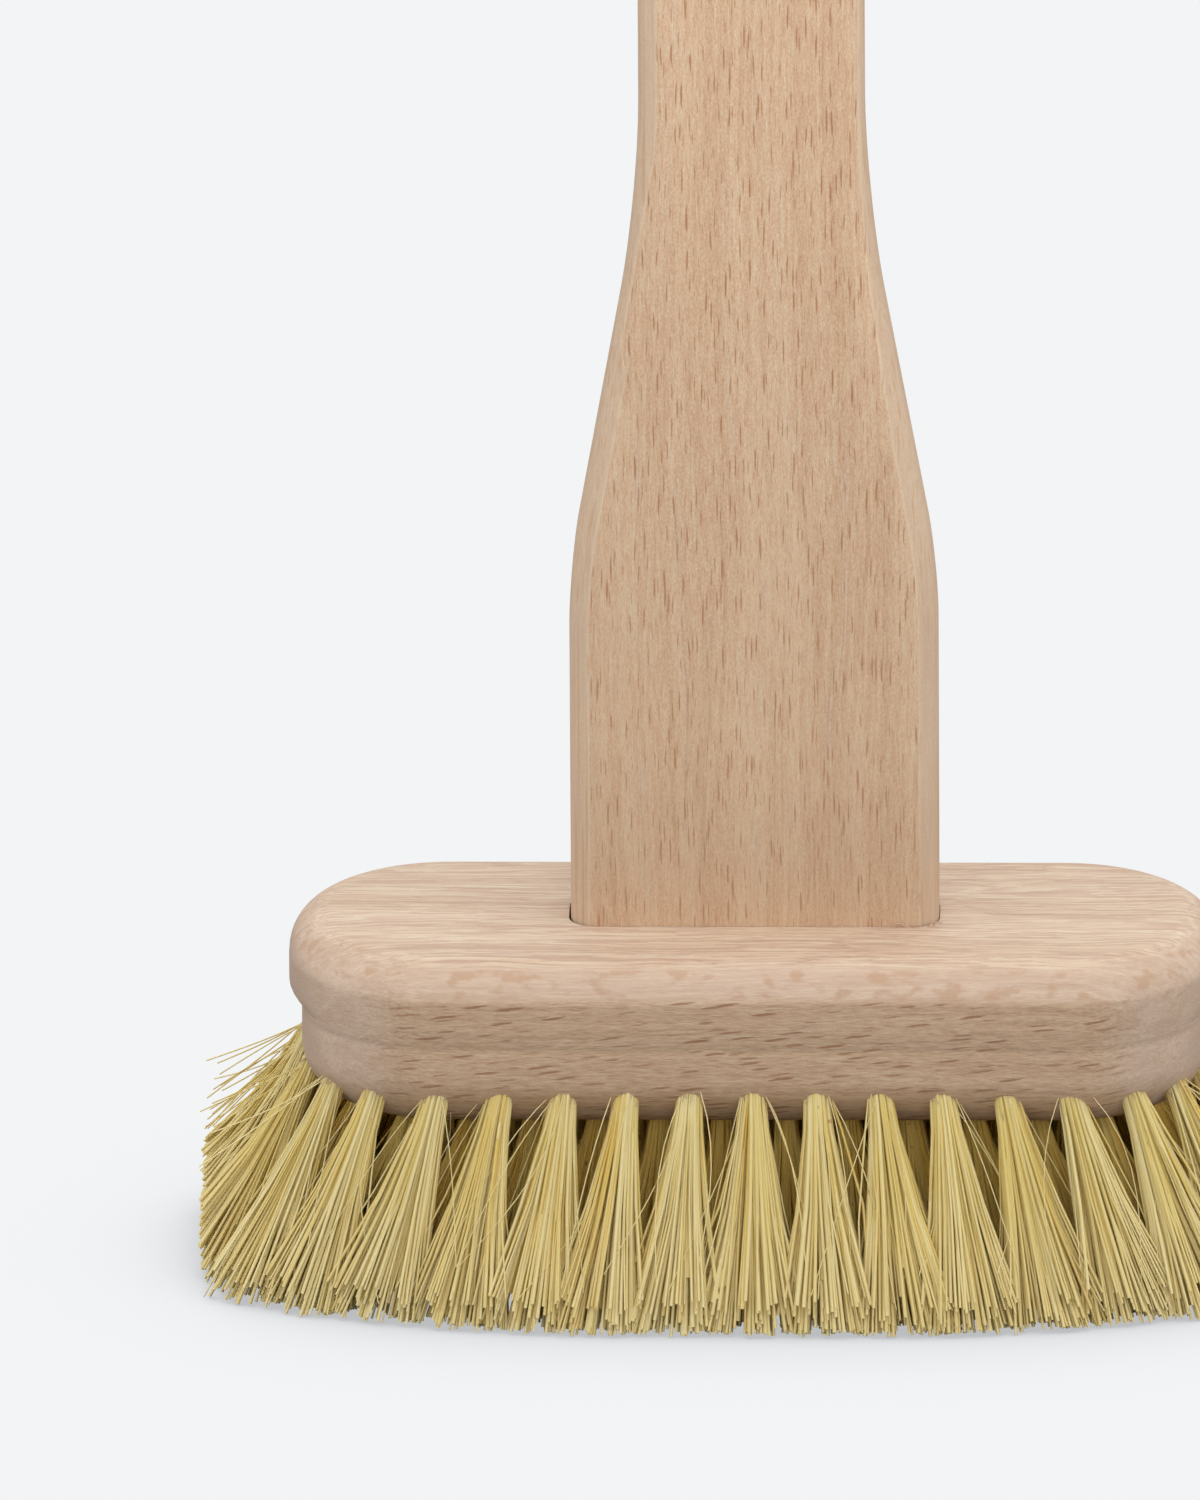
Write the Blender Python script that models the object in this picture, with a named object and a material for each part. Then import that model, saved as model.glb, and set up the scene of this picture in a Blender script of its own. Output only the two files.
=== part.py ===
# A bathtub brush of beech and plant fibre, in metres, +Z up, standing on its bristle tips with its front to -Y.
# The head is a cover plate glued on a bristle stock. The stock's tufts are drawn into their holes by wire that
# runs over its back, and the handle stands in a mortise of the cover, held by two screws from underneath.

import math
from collections import namedtuple

import bmesh
import bpy
from mathutils import Matrix, Vector

# Fits
CLEARANCE = 0.0003
CUT_OVERRUN = 0.001
WELD_DISTANCE = 0.000002

# Head, as seen from above
HEAD_LENGTH = 0.150
HEAD_WIDTH = 0.056
HEAD_CORNER = 0.0255
SMALLEST_CORNER = 0.002
CORNER_STEPS = 8

# Cover plate
COVER_THICKNESS = 0.0125
COVER_TOP_RADIUS = 0.0062
COVER_TOP_STEPS = 4
COVER_UNDERCUT_RISE = 0.003
COVER_UNDERCUT_STEPS = 2

# Bristle stock, set back from the cover all round
STOCK_THICKNESS = 0.0157
STOCK_SET_BACK = 0.002
STOCK_LOWER_RADIUS = 0.008
STOCK_LOWER_STEPS = 5

# Handle
HANDLE_SEAT_DEPTH = 0.0075
HANDLE_RISE = 0.4425
HANDLE_THICKNESS = 0.014
HANDLE_FOOT_WIDTH = 0.0592
HANDLE_NECK_WIDTH = 0.0362
HANDLE_EDGE_RADIUS = 0.004
HANDLE_EDGE_STEPS = 3
TAPER_START_RISE = 0.059
TAPER_END_RISE = 0.1224
SHOULDER_RADIUS = 0.098
NECK_RADIUS = 0.184
TAPER_ARC_STEPS = 4
TOP_ARC_STEPS = 8

# Hanging hole
HANG_HOLE_RADIUS = 0.005
HANG_HOLE_DROP = 0.020
HANG_HOLE_RIM = 0.001
HANG_HOLE_SIDES = 24

# Handle screws
SCREW_EDGE_MARGIN = 0.0116
SCREW_LENGTH = 0.045
SCREW_RADIUS = 0.0021
SCREW_TIP_LENGTH = 0.006
SCREW_TIP_RADIUS = 0.0004
SCREW_HEAD_RADIUS = 0.0043
SCREW_HEAD_EDGE = 0.0004
SCREW_HEAD_DEPTH = 0.0026
SCREW_SLOT_WIDTH = 0.001
SCREW_SLOT_DEPTH = 0.0011
SCREW_SIDES = 16

# Tufts
TUFT_FREE_HEIGHT = 0.029
TUFT_EMBED = 0.003
TUFT_PITCH = 0.010
TUFT_ROOT_SPREAD = 0.0014
TUFT_TIP_SPREAD = 0.0032
STRAND_RADIUS = 0.00065
STRAND_SIDES = 3
OUTER_RING_INSET = 0.0031
INNER_ROW_GAP = 0.010
OUTER_FRONT_MARGIN = 0.015
MIDDLE_FRONT_MARGIN = 0.020
INNER_FRONT_MARGIN = 0.025
OUTER_END_SPLAY = 0.0144
OUTER_SIDE_SPLAY = 0.0151
MIDDLE_END_SPLAY = 0.0108
MIDDLE_SIDE_SPLAY = 0.0088
INNER_END_SPLAY = 0.005
INNER_SIDE_SPLAY = 0.003

# How square each ring of tips is: 2 is an ellipse, and a large number is a rectangle
OUTER_SQUARE_SHARE = 2.7
MIDDLE_SQUARE_SHARE = 3.4
INNER_SQUARE_SHARE = 8.0

# Slices of the stock that hold the tufts
OUTER_SLICE_HEIGHT = 0.009
SLICE_THICKNESS = 0.004

# Drawing wires, with a hairpin down to each tuft
WIRE_RADIUS = 0.00025
HAIRPIN_WIDTH = 0.0009
GROOVE_WIDTH = 0.0034
GROOVE_DEPTH = 0.001
PILOT_RADIUS = 0.0012
PILOT_SIDES = 6

# Linear colours
BEECH_HANDLE = (0.591, 0.402, 0.262, 1.0)
BEECH_HEAD = (0.610, 0.456, 0.337, 1.0)
FIBRE = (0.610, 0.468, 0.205, 1.0)
STEEL = (0.55, 0.55, 0.56, 1.0)

# Levels, from the floor up
STOCK_BOTTOM = TUFT_FREE_HEIGHT
STOCK_TOP = STOCK_BOTTOM + STOCK_THICKNESS
COVER_BOTTOM = STOCK_TOP + CLEARANCE
COVER_TOP = COVER_BOTTOM + COVER_THICKNESS
MORTISE_FLOOR = COVER_TOP - HANDLE_SEAT_DEPTH
HANDLE_FOOT = MORTISE_FLOOR + CLEARANCE
HANDLE_TOP = COVER_TOP + HANDLE_RISE
SCREW_HEAD_FACE = COVER_BOTTOM + CLEARANCE
WIRE_LEVEL = STOCK_TOP - GROOVE_DEPTH + CLEARANCE + WIRE_RADIUS
SCREW_OFFSET = HANDLE_FOOT_WIDTH / 2 - SCREW_EDGE_MARGIN

# Rings of tufts, and the lines between their slices, as distances in from the cover's edge
INNER_RING_INSET = (HEAD_WIDTH - INNER_ROW_GAP) / 2
MIDDLE_RING_INSET = (OUTER_RING_INSET + INNER_RING_INSET) / 2
OUTER_SLICE_END = (OUTER_RING_INSET + MIDDLE_RING_INSET) / 2
MIDDLE_SLICE_END = (MIDDLE_RING_INSET + INNER_RING_INSET) / 2

Ring = namedtuple("Ring", "name inset front_margin end_splay side_splay square_share end_count strands")
OUTER = Ring(
    "outer", OUTER_RING_INSET, OUTER_FRONT_MARGIN, OUTER_END_SPLAY, OUTER_SIDE_SPLAY, OUTER_SQUARE_SHARE, 5, 6
)
MIDDLE = Ring(
    "middle", MIDDLE_RING_INSET, MIDDLE_FRONT_MARGIN, MIDDLE_END_SPLAY, MIDDLE_SIDE_SPLAY, MIDDLE_SQUARE_SHARE, 3, 5
)
INNER = Ring(
    "inner", INNER_RING_INSET, INNER_FRONT_MARGIN, INNER_END_SPLAY, INNER_SIDE_SPLAY, INNER_SQUARE_SHARE, 0, 4
)

# A tuft's place where it leaves the wood, its tip, which sides of the head it is on, and its number in a quarter
Tuft = namedtuple("Tuft", "mouth tip side_x side_y rank")


def clear_scene():
    for old in list(bpy.data.objects):
        bpy.data.objects.remove(old, do_unlink=True)


def finish(name):
    colour, roughness, metallic = {
        "beech_handle": (BEECH_HANDLE, 0.62, 0.0),
        "beech_head": (BEECH_HEAD, 0.66, 0.0),
        "fibre": (FIBRE, 0.55, 0.0),
        "steel": (STEEL, 0.32, 1.0),
    }[name]
    material = bpy.data.materials.get(name) or bpy.data.materials.new(name)
    material.use_nodes = True
    shader = material.node_tree.nodes["Principled BSDF"]
    shader.inputs["Base Color"].default_value = colour
    shader.inputs["Roughness"].default_value = roughness
    shader.inputs["Metallic"].default_value = metallic
    return material


def add_object(name, data, material, level, parent):
    made = bpy.data.objects.new(name, data)
    bpy.context.scene.collection.objects.link(made)
    made.location.z = level
    made.parent = parent
    if material:
        data.materials.append(finish(material))
    return made


def mesh_from(bm, name):
    bmesh.ops.remove_doubles(bm, verts=bm.verts, dist=WELD_DISTANCE)
    bmesh.ops.recalc_face_normals(bm, faces=bm.faces)
    mesh = bpy.data.meshes.new(name)
    bm.to_mesh(mesh)
    bm.free()
    return mesh


def shade_round(mesh):
    mesh.shade_smooth()
    mesh.set_sharp_from_angle(angle=math.radians(35))


def cut(target, mesh, operation="DIFFERENCE"):
    # The tool shares its target's place, so its mesh is in the target's own coordinates.
    tool = add_object(mesh.name, mesh, None, target.location.z, target.parent)
    tool.hide_render = True
    tool.display_type = "WIRE"
    boolean = target.modifiers.new(mesh.name, "BOOLEAN")
    boolean.operation = operation
    boolean.solver = "EXACT"
    boolean.object = tool


def rounded_outline(length, width, corner):
    # A rectangle with round corners, counter-clockwise, centred on the origin.
    corner = max(min(corner, length / 2, width / 2), 0.0)
    points = []
    for quarter, (side_x, side_y) in enumerate(((1, 1), (-1, 1), (-1, -1), (1, -1))):
        centre_x = side_x * (length / 2 - corner)
        centre_y = side_y * (width / 2 - corner)
        for step in range(CORNER_STEPS + 1):
            angle = math.pi / 2 * (quarter + step / CORNER_STEPS)
            points.append((centre_x + corner * math.cos(angle), centre_y + corner * math.sin(angle)))
    return points


def head_outline(inset):
    corner = max(HEAD_CORNER - inset, SMALLEST_CORNER)
    return rounded_outline(HEAD_LENGTH - 2 * inset, HEAD_WIDTH - 2 * inset, corner)


def loft(bm, levels, outline_at, ring=False):
    # Levels are (inset, height) pairs down the outside, and a ring's go on up its inside.
    loops = [[bm.verts.new((x, y, height)) for x, y in outline_at(inset)] for inset, height in levels]
    following = loops[1:] + loops[:1] if ring else loops[1:]
    for upper, lower in zip(loops, following):
        for index in range(len(upper)):
            bm.faces.new((upper[index - 1], upper[index], lower[index], lower[index - 1]))
    if not ring:
        bm.faces.new(loops[0])
        bm.faces.new(loops[-1])


def prism(bm, bottom, top, radius, sides, side_x=1, side_y=1):
    # Both ends are level, so a leaning prism is cut flat at the floor.
    rise = top - bottom
    middle = (top + bottom) / 2
    matrix = Matrix((
        (side_x, 0, rise.x, middle.x),
        (0, side_y, rise.y, middle.y),
        (0, 0, rise.z, middle.z),
        (0, 0, 0, 1),
    ))
    bmesh.ops.create_cone(
        bm, cap_ends=True, segments=sides, radius1=radius, radius2=radius, depth=1, matrix=matrix
    )


def turned(profile, sides, name):
    # The profile is (radius, height) pairs from one end of the axis to the other.
    bm = bmesh.new()
    points = [bm.verts.new((radius, 0, height)) for radius, height in profile]
    edges = [bm.edges.new(pair) for pair in zip(points, points[1:])]
    bmesh.ops.spin(
        bm, geom=points + edges, cent=(0, 0, 0), axis=(0, 0, 1), angle=math.tau, steps=sides, use_merge=True
    )
    mesh = mesh_from(bm, name)
    shade_round(mesh)
    return mesh


def arc_share(step, steps):
    angle = math.pi / 2 * step / steps
    return 1 - math.cos(angle), 1 - math.sin(angle)


# Cover plate

def cover_levels():
    levels = []
    for step in range(COVER_TOP_STEPS + 1):
        fallen, inward = arc_share(step, COVER_TOP_STEPS)
        levels.append((COVER_TOP_RADIUS * inward, COVER_THICKNESS - COVER_TOP_RADIUS * fallen))
    for step in range(COVER_UNDERCUT_STEPS + 1):
        inward, left = arc_share(step, COVER_UNDERCUT_STEPS)
        levels.append((STOCK_SET_BACK * inward, COVER_UNDERCUT_RISE * left))
    return levels


def mortise_cutter():
    bm = bmesh.new()

    def outline(inset):
        return rounded_outline(
            HANDLE_FOOT_WIDTH + 2 * (CLEARANCE - inset),
            HANDLE_THICKNESS + 2 * (CLEARANCE - inset),
            HANDLE_EDGE_RADIUS + CLEARANCE - inset,
        )

    loft(bm, [(0, COVER_THICKNESS + CUT_OVERRUN), (0, MORTISE_FLOOR - COVER_BOTTOM)], outline)
    return mesh_from(bm, "mortise")


def screw_clearance_cutter(side):
    # The countersink and the shank's hole, from below the cover to inside the mortise.
    head = SCREW_HEAD_RADIUS + CLEARANCE
    shank = SCREW_RADIUS + CLEARANCE
    countersink = SCREW_HEAD_FACE - COVER_BOTTOM + SCREW_HEAD_DEPTH
    profile = [
        (0, -CUT_OVERRUN),
        (head, -CUT_OVERRUN),
        (head, CLEARANCE + SCREW_HEAD_EDGE),
        (shank, countersink),
        (shank, MORTISE_FLOOR - COVER_BOTTOM + CUT_OVERRUN),
        (0, MORTISE_FLOOR - COVER_BOTTOM + CUT_OVERRUN),
    ]
    mesh = turned(profile, SCREW_SIDES, "screw_hole")
    mesh.transform(Matrix.Translation((side * SCREW_OFFSET, 0, 0)))
    return mesh


def make_cover(parent):
    bm = bmesh.new()
    loft(bm, cover_levels(), head_outline)
    cover = add_object("cover_plate", mesh_from(bm, "cover_plate"), "beech_head", COVER_BOTTOM, parent)
    shade_round(cover.data)
    cut(cover, mortise_cutter())
    for side in (-1, 1):
        cut(cover, screw_clearance_cutter(side))


# Handle

def filleted(corners):
    # Corners are (x, z, radius, steps), and each radius becomes an arc tangent to both of its sides.
    points = []
    for index, (x, z, radius, steps) in enumerate(corners):
        here = Vector((x, z))
        if not radius:
            points.append(here)
            continue
        before = Vector(corners[index - 1][:2]) - here
        after = Vector(corners[index + 1][:2]) - here
        half_angle = before.angle(after) / 2
        reach = radius / math.tan(half_angle)
        start = here + before.normalized() * reach
        end = here + after.normalized() * reach
        centre = here + (before.normalized() + after.normalized()).normalized() * radius / math.sin(half_angle)
        sweep = (start - centre).angle_signed(end - centre)
        for step in range(steps + 1):
            points.append(centre + Matrix.Rotation(-sweep * step / steps, 2) @ (start - centre))
    return points


def handle_outline():
    foot_half = HANDLE_FOOT_WIDTH / 2
    neck_half = HANDLE_NECK_WIDTH / 2
    start = COVER_TOP + TAPER_START_RISE - HANDLE_FOOT
    end = COVER_TOP + TAPER_END_RISE - HANDLE_FOOT
    top = HANDLE_TOP - HANDLE_FOOT
    right = filleted([
        (foot_half, 0, 0, 0),
        (foot_half, start, SHOULDER_RADIUS, TAPER_ARC_STEPS),
        (neck_half, end, NECK_RADIUS, TAPER_ARC_STEPS),
        (neck_half, top, neck_half, TOP_ARC_STEPS),
        (0, top, 0, 0),
    ])
    right = [point for point in right if point.x > WELD_DISTANCE]
    return right + [Vector((0, top))] + [Vector((-point.x, point.y)) for point in reversed(right)]


def hang_hole_cutter():
    half = HANDLE_THICKNESS / 2
    flare = HANG_HOLE_RADIUS + HANG_HOLE_RIM + CUT_OVERRUN
    profile = [
        (0, -half - CUT_OVERRUN),
        (flare, -half - CUT_OVERRUN),
        (HANG_HOLE_RADIUS, HANG_HOLE_RIM - half),
        (HANG_HOLE_RADIUS, half - HANG_HOLE_RIM),
        (flare, half + CUT_OVERRUN),
        (0, half + CUT_OVERRUN),
    ]
    mesh = turned(profile, HANG_HOLE_SIDES, "hang_hole")
    height = HANDLE_TOP - HANG_HOLE_DROP - HANDLE_FOOT
    mesh.transform(Matrix.Translation((0, 0, height)) @ Matrix.Rotation(math.pi / 2, 4, "X"))
    return mesh


def screw_bore_cutter(side):
    bm = bmesh.new()
    x = side * SCREW_OFFSET
    top = SCREW_HEAD_FACE + SCREW_LENGTH + CUT_OVERRUN - HANDLE_FOOT
    prism(bm, Vector((x, 0, -CUT_OVERRUN)), Vector((x, 0, top)), SCREW_RADIUS + CLEARANCE, SCREW_SIDES)
    return mesh_from(bm, "screw_bore")


def make_handle(parent):
    bm = bmesh.new()
    front = [bm.verts.new((point.x, -HANDLE_THICKNESS / 2, point.y)) for point in handle_outline()]
    face = bm.faces.new(front)
    grown = bmesh.ops.extrude_face_region(bm, geom=[face])["geom"]
    back = [item for item in grown if isinstance(item, bmesh.types.BMVert)]
    bmesh.ops.translate(bm, verts=back, vec=(0, HANDLE_THICKNESS, 0))
    rounded = []
    for edge in bm.edges:
        first, second = edge.verts
        along_face = abs(first.co.y - second.co.y) < WELD_DISTANCE
        at_foot = max(first.co.z, second.co.z) < WELD_DISTANCE
        if along_face and not at_foot:
            rounded.append(edge)
    bmesh.ops.bevel(
        bm, geom=rounded, offset=HANDLE_EDGE_RADIUS, segments=HANDLE_EDGE_STEPS, profile=0.5,
        affect="EDGES", material=-1, clamp_overlap=False,
    )
    handle = add_object("handle", mesh_from(bm, "handle"), "beech_handle", HANDLE_FOOT, parent)
    shade_round(handle.data)
    cut(handle, hang_hole_cutter())
    for side in (-1, 1):
        cut(handle, screw_bore_cutter(side))


# Handle screws

def make_screws(parent):
    profile = [
        (0, 0),
        (SCREW_HEAD_RADIUS, 0),
        (SCREW_HEAD_RADIUS, SCREW_HEAD_EDGE),
        (SCREW_RADIUS, SCREW_HEAD_DEPTH),
        (SCREW_RADIUS, SCREW_LENGTH - SCREW_TIP_LENGTH),
        (SCREW_TIP_RADIUS, SCREW_LENGTH),
        (0, SCREW_LENGTH),
    ]
    for name, side in (("handle_screw_left", -1), ("handle_screw_right", 1)):
        screw = add_object(name, turned(profile, SCREW_SIDES, name), "steel", SCREW_HEAD_FACE, parent)
        screw.location.x = side * SCREW_OFFSET
        bm = bmesh.new()
        bmesh.ops.create_cube(bm, size=1)
        slot = (2 * (SCREW_HEAD_RADIUS + CUT_OVERRUN), SCREW_SLOT_WIDTH, 2 * SCREW_SLOT_DEPTH)
        bmesh.ops.scale(bm, vec=slot, verts=bm.verts)
        cut(screw, mesh_from(bm, name + "_slot"))
        bpy.data.objects[name + "_slot"].location.x = screw.location.x


# Tufts

def lower_rise(inset):
    # How far the stock's lower surface lies above its underside, on its rounded lower edge.
    inward = max(STOCK_LOWER_RADIUS - (inset - STOCK_SET_BACK), 0)
    return STOCK_LOWER_RADIUS - math.sqrt(STOCK_LOWER_RADIUS ** 2 - min(inward, STOCK_LOWER_RADIUS) ** 2)


def quarter_places(ring):
    # The ring's tufts in the front right quarter: evenly pitched along the front, evenly spread round the end.
    half_length = HEAD_LENGTH / 2 - ring.inset
    half_width = HEAD_WIDTH / 2 - ring.inset
    corner = max(HEAD_CORNER - ring.inset, SMALLEST_CORNER)
    straight = half_length - corner
    whole = straight + corner * math.pi / 2 + half_width - corner

    def travelled(x):
        return x if x <= straight else straight + corner * math.asin(min((x - straight) / corner, 1))

    def place(distance):
        if distance <= straight:
            return distance, -half_width
        angle = (distance - straight) / corner
        if angle <= math.pi / 2:
            return straight + corner * math.sin(angle), corner - half_width - corner * math.cos(angle)
        return half_length, distance - whole

    reach = HEAD_LENGTH / 2 - ring.front_margin
    gaps = round(2 * reach / TUFT_PITCH)
    pitch = 2 * reach / gaps
    first = pitch / 2 if gaps % 2 else 0
    front = [travelled(first + pitch * index) for index in range(gaps // 2 + 1)]
    gap = 2 * (whole - front[-1]) / (ring.end_count + 1)
    end = [front[-1] + gap * index for index in range(1, ring.end_count // 2 + 1)]
    places = [place(distance) for distance in front + end]
    if ring.end_count % 2:
        places.append((half_length, 0))
    return places


def tufts_of(ring):
    # All round the head, counter-clockwise from the middle of the front.
    half_length = HEAD_LENGTH / 2 - ring.inset
    level = STOCK_BOTTOM + lower_rise(ring.inset)
    tip_length = half_length + ring.end_splay
    tip_width = HEAD_WIDTH / 2 - ring.inset + ring.side_splay
    tufts = []
    for side_x, side_y in ((1, 1), (1, -1), (-1, -1), (-1, 1)):
        quarter = []
        for rank, (x, y) in enumerate(quarter_places(ring)):
            repeated = (side_x < 0 and x == 0) or (side_y < 0 and y == 0)
            if repeated:
                continue
            along_share = min(x / half_length, 1)
            across_share = (1 - along_share ** ring.square_share) ** (1 / ring.square_share)
            tip_x = along_share * tip_length
            tip_y = -across_share * tip_width
            quarter.append(Tuft(
                Vector((side_x * x, side_y * y, level)),
                Vector((side_x * tip_x, side_y * tip_y, 0)),
                side_x, side_y, rank,
            ))
        tufts.extend(quarter if side_x == side_y else reversed(quarter))
    return tufts


def along_axis(tuft, level):
    # The tuft's axis at a height, also above the mouth inside the wood.
    return tuft.tip + (tuft.mouth - tuft.tip) * (level / tuft.mouth.z)


def strand_mesh(ring):
    bm = bmesh.new()
    lift = Vector((0, 0, STOCK_BOTTOM))
    for tuft in tufts_of(ring):
        root = along_axis(tuft, tuft.mouth.z + TUFT_EMBED)
        turn = tuft.rank * math.pi * (3 - math.sqrt(5))
        for number in range(ring.strands):
            # One strand is in the middle of the tuft, and the others stand in a circle round it.
            angle = turn + math.tau * number / (ring.strands - 1)
            outward = Vector((tuft.side_x * math.cos(angle), tuft.side_y * math.sin(angle), 0)) * min(number, 1)
            bottom = tuft.tip + outward * TUFT_TIP_SPREAD - lift
            top = root + outward * TUFT_ROOT_SPREAD - lift
            prism(bm, bottom, top, STRAND_RADIUS, STRAND_SIDES, tuft.side_x, tuft.side_y)
    return mesh_from(bm, ring.name + "_strands")


def slice_levels(start, end, height):
    # Down the outside, in along the stock's lower surface, and up the inside where there is one.
    radius_end = STOCK_SET_BACK + STOCK_LOWER_RADIUS
    insets = [start]
    for step in range(1, STOCK_LOWER_STEPS + 1):
        _, inward = arc_share(STOCK_LOWER_STEPS - step, STOCK_LOWER_STEPS)
        inset = STOCK_SET_BACK + STOCK_LOWER_RADIUS * inward
        if start + CLEARANCE < inset < min(end, radius_end) - CLEARANCE:
            insets.append(inset)
    insets.append(end)
    return [(start, height)] + [(inset, lower_rise(inset)) for inset in insets] + [(end, height)]


def slice_mesh(ring):
    bm = bmesh.new()
    if ring is OUTER:
        loft(bm, slice_levels(STOCK_SET_BACK, OUTER_SLICE_END, OUTER_SLICE_HEIGHT), head_outline, ring=True)
    elif ring is MIDDLE:
        start = OUTER_SLICE_END + CLEARANCE
        loft(bm, slice_levels(start, MIDDLE_SLICE_END, SLICE_THICKNESS), head_outline, ring=True)
    else:
        start = MIDDLE_SLICE_END + CLEARANCE
        loft(bm, [(start, SLICE_THICKNESS), (start, lower_rise(start))], head_outline)
    return mesh_from(bm, ring.name + "_tufts")


def make_tufts(ring, parent):
    tufts = add_object(ring.name + "_tufts", slice_mesh(ring), "fibre", STOCK_BOTTOM, parent)
    cut(tufts, strand_mesh(ring), "UNION")


# Bristle stock and its drawing wires

def slice_top(ring):
    return STOCK_BOTTOM + (OUTER_SLICE_HEIGHT if ring is OUTER else SLICE_THICKNESS)


def pilot_mesh(rings):
    bm = bmesh.new()
    lift = Vector((0, 0, STOCK_BOTTOM))
    for ring in rings:
        for tuft in tufts_of(ring):
            bottom = along_axis(tuft, slice_top(ring) + CLEARANCE - CUT_OVERRUN)
            top = along_axis(tuft, STOCK_TOP + CUT_OVERRUN)
            prism(bm, bottom - lift, top - lift, PILOT_RADIUS, PILOT_SIDES)
    return mesh_from(bm, "pilot_holes")


def groove_mesh(rings):
    bm = bmesh.new()
    above = STOCK_THICKNESS + CUT_OVERRUN
    floor = STOCK_THICKNESS - GROOVE_DEPTH
    half = GROOVE_WIDTH / 2
    for ring in rings:
        route = [along_axis(tuft, WIRE_LEVEL).xy for tuft in tufts_of(ring)]
        following = route[1:] + route[:1]
        normals = [(after - here).orthogonal().normalized() for here, after in zip(route, following)]

        def wall(inset):
            # The mitred offset of the wire's route.
            corners = []
            for index, here in enumerate(route):
                before, after = normals[index - 1], normals[index]
                corners.append(here + (before + after) * inset / (1 + before.dot(after)))
            return corners

        loft(bm, [(-half, above), (-half, floor), (half, floor), (half, above)], wall, ring=True)
    return mesh_from(bm, "wire_grooves")


def make_stock(parent):
    boss = OUTER_SLICE_END + CLEARANCE
    bm = bmesh.new()
    levels = [
        (STOCK_SET_BACK, STOCK_THICKNESS),
        (STOCK_SET_BACK, OUTER_SLICE_HEIGHT + CLEARANCE),
        (boss, OUTER_SLICE_HEIGHT + CLEARANCE),
        (boss, SLICE_THICKNESS + CLEARANCE),
    ]
    loft(bm, levels, head_outline)
    stock = add_object("bristle_stock", mesh_from(bm, "bristle_stock"), "beech_head", STOCK_BOTTOM, parent)
    shade_round(stock.data)
    rings = (OUTER, MIDDLE, INNER)
    cut(stock, groove_mesh(rings))
    cut(stock, pilot_mesh(rings))


def make_wire(ring, parent):
    # Along the groove, down each pilot hole, under the fold of the tuft and up again.
    tufts = tufts_of(ring)
    backs = [along_axis(tuft, WIRE_LEVEL) for tuft in tufts]
    fold_level = slice_top(ring) + CLEARANCE + WIRE_RADIUS
    lift = Vector((0, 0, STOCK_BOTTOM))
    route = []
    for index, tuft in enumerate(tufts):
        heading = (backs[(index + 1) % len(backs)] - backs[index - 1]).normalized()
        side = heading * HAIRPIN_WIDTH / 2
        fold = along_axis(tuft, fold_level)
        route += [backs[index] - side, fold - side, fold + side, backs[index] + side]
    name = ring.name + "_draw_wire"
    curve = bpy.data.curves.new(name, "CURVE")
    curve.dimensions = "3D"
    curve.bevel_depth = WIRE_RADIUS
    curve.bevel_resolution = 0
    curve.use_fill_caps = True
    spline = curve.splines.new("POLY")
    spline.points.add(len(route) - 1)
    for point, place in zip(spline.points, route):
        point.co = (*(place - lift), 1)
    add_object(name, curve, "steel", STOCK_BOTTOM, parent)


def main():
    clear_scene()
    brush = bpy.data.objects.new("brush", None)
    bpy.context.scene.collection.objects.link(brush)
    make_handle(brush)
    make_cover(brush)
    make_screws(brush)
    make_stock(brush)
    for ring in (OUTER, MIDDLE, INNER):
        make_tufts(ring, brush)
        make_wire(ring, brush)
    for wooden in ("handle", "cover_plate", "bristle_stock"):
        print(wooden, len(bpy.data.objects[wooden].data.polygons), "faces before its cuts")
    for ring in (OUTER, MIDDLE, INNER):
        print(ring.name, "ring:", len(tufts_of(ring)), "tufts of", ring.strands, "strands")


main()
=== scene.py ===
import math
import random

import bmesh
import bpy
from mathutils import Matrix, Quaternion, Vector
from mathutils.bvhtree import BVHTree


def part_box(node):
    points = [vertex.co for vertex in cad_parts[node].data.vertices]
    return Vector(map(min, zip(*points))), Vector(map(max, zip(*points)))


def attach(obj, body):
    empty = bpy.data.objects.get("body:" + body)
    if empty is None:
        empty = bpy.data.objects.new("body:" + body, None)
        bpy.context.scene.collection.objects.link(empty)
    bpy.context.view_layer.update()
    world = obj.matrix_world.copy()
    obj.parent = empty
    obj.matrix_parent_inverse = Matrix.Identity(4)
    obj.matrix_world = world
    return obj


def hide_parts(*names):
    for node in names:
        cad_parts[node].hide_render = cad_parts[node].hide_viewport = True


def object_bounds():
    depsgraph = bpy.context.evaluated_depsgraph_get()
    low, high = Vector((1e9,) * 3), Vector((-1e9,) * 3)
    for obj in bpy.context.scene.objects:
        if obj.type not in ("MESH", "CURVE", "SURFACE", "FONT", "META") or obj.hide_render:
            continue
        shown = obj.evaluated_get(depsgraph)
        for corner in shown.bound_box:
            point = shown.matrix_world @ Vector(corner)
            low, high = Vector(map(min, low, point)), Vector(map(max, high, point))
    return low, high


mm = 0.001
toMillimetres = (1 / mm,) * 3
touching = 0.001 * mm                  # points nearer than this are one
sharpAngle = math.radians(32)          # edges that turn more than this stay crisp

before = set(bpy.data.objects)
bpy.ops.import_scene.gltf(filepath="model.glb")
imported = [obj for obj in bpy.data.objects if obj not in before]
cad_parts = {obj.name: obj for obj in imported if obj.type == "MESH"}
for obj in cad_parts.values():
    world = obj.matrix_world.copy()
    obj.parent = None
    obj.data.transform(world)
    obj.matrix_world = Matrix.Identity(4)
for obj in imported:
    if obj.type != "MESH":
        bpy.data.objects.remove(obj)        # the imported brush, which fixes every size below
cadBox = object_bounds()
print("frame:", len(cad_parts), "nodes")


# Shader expressions

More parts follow.
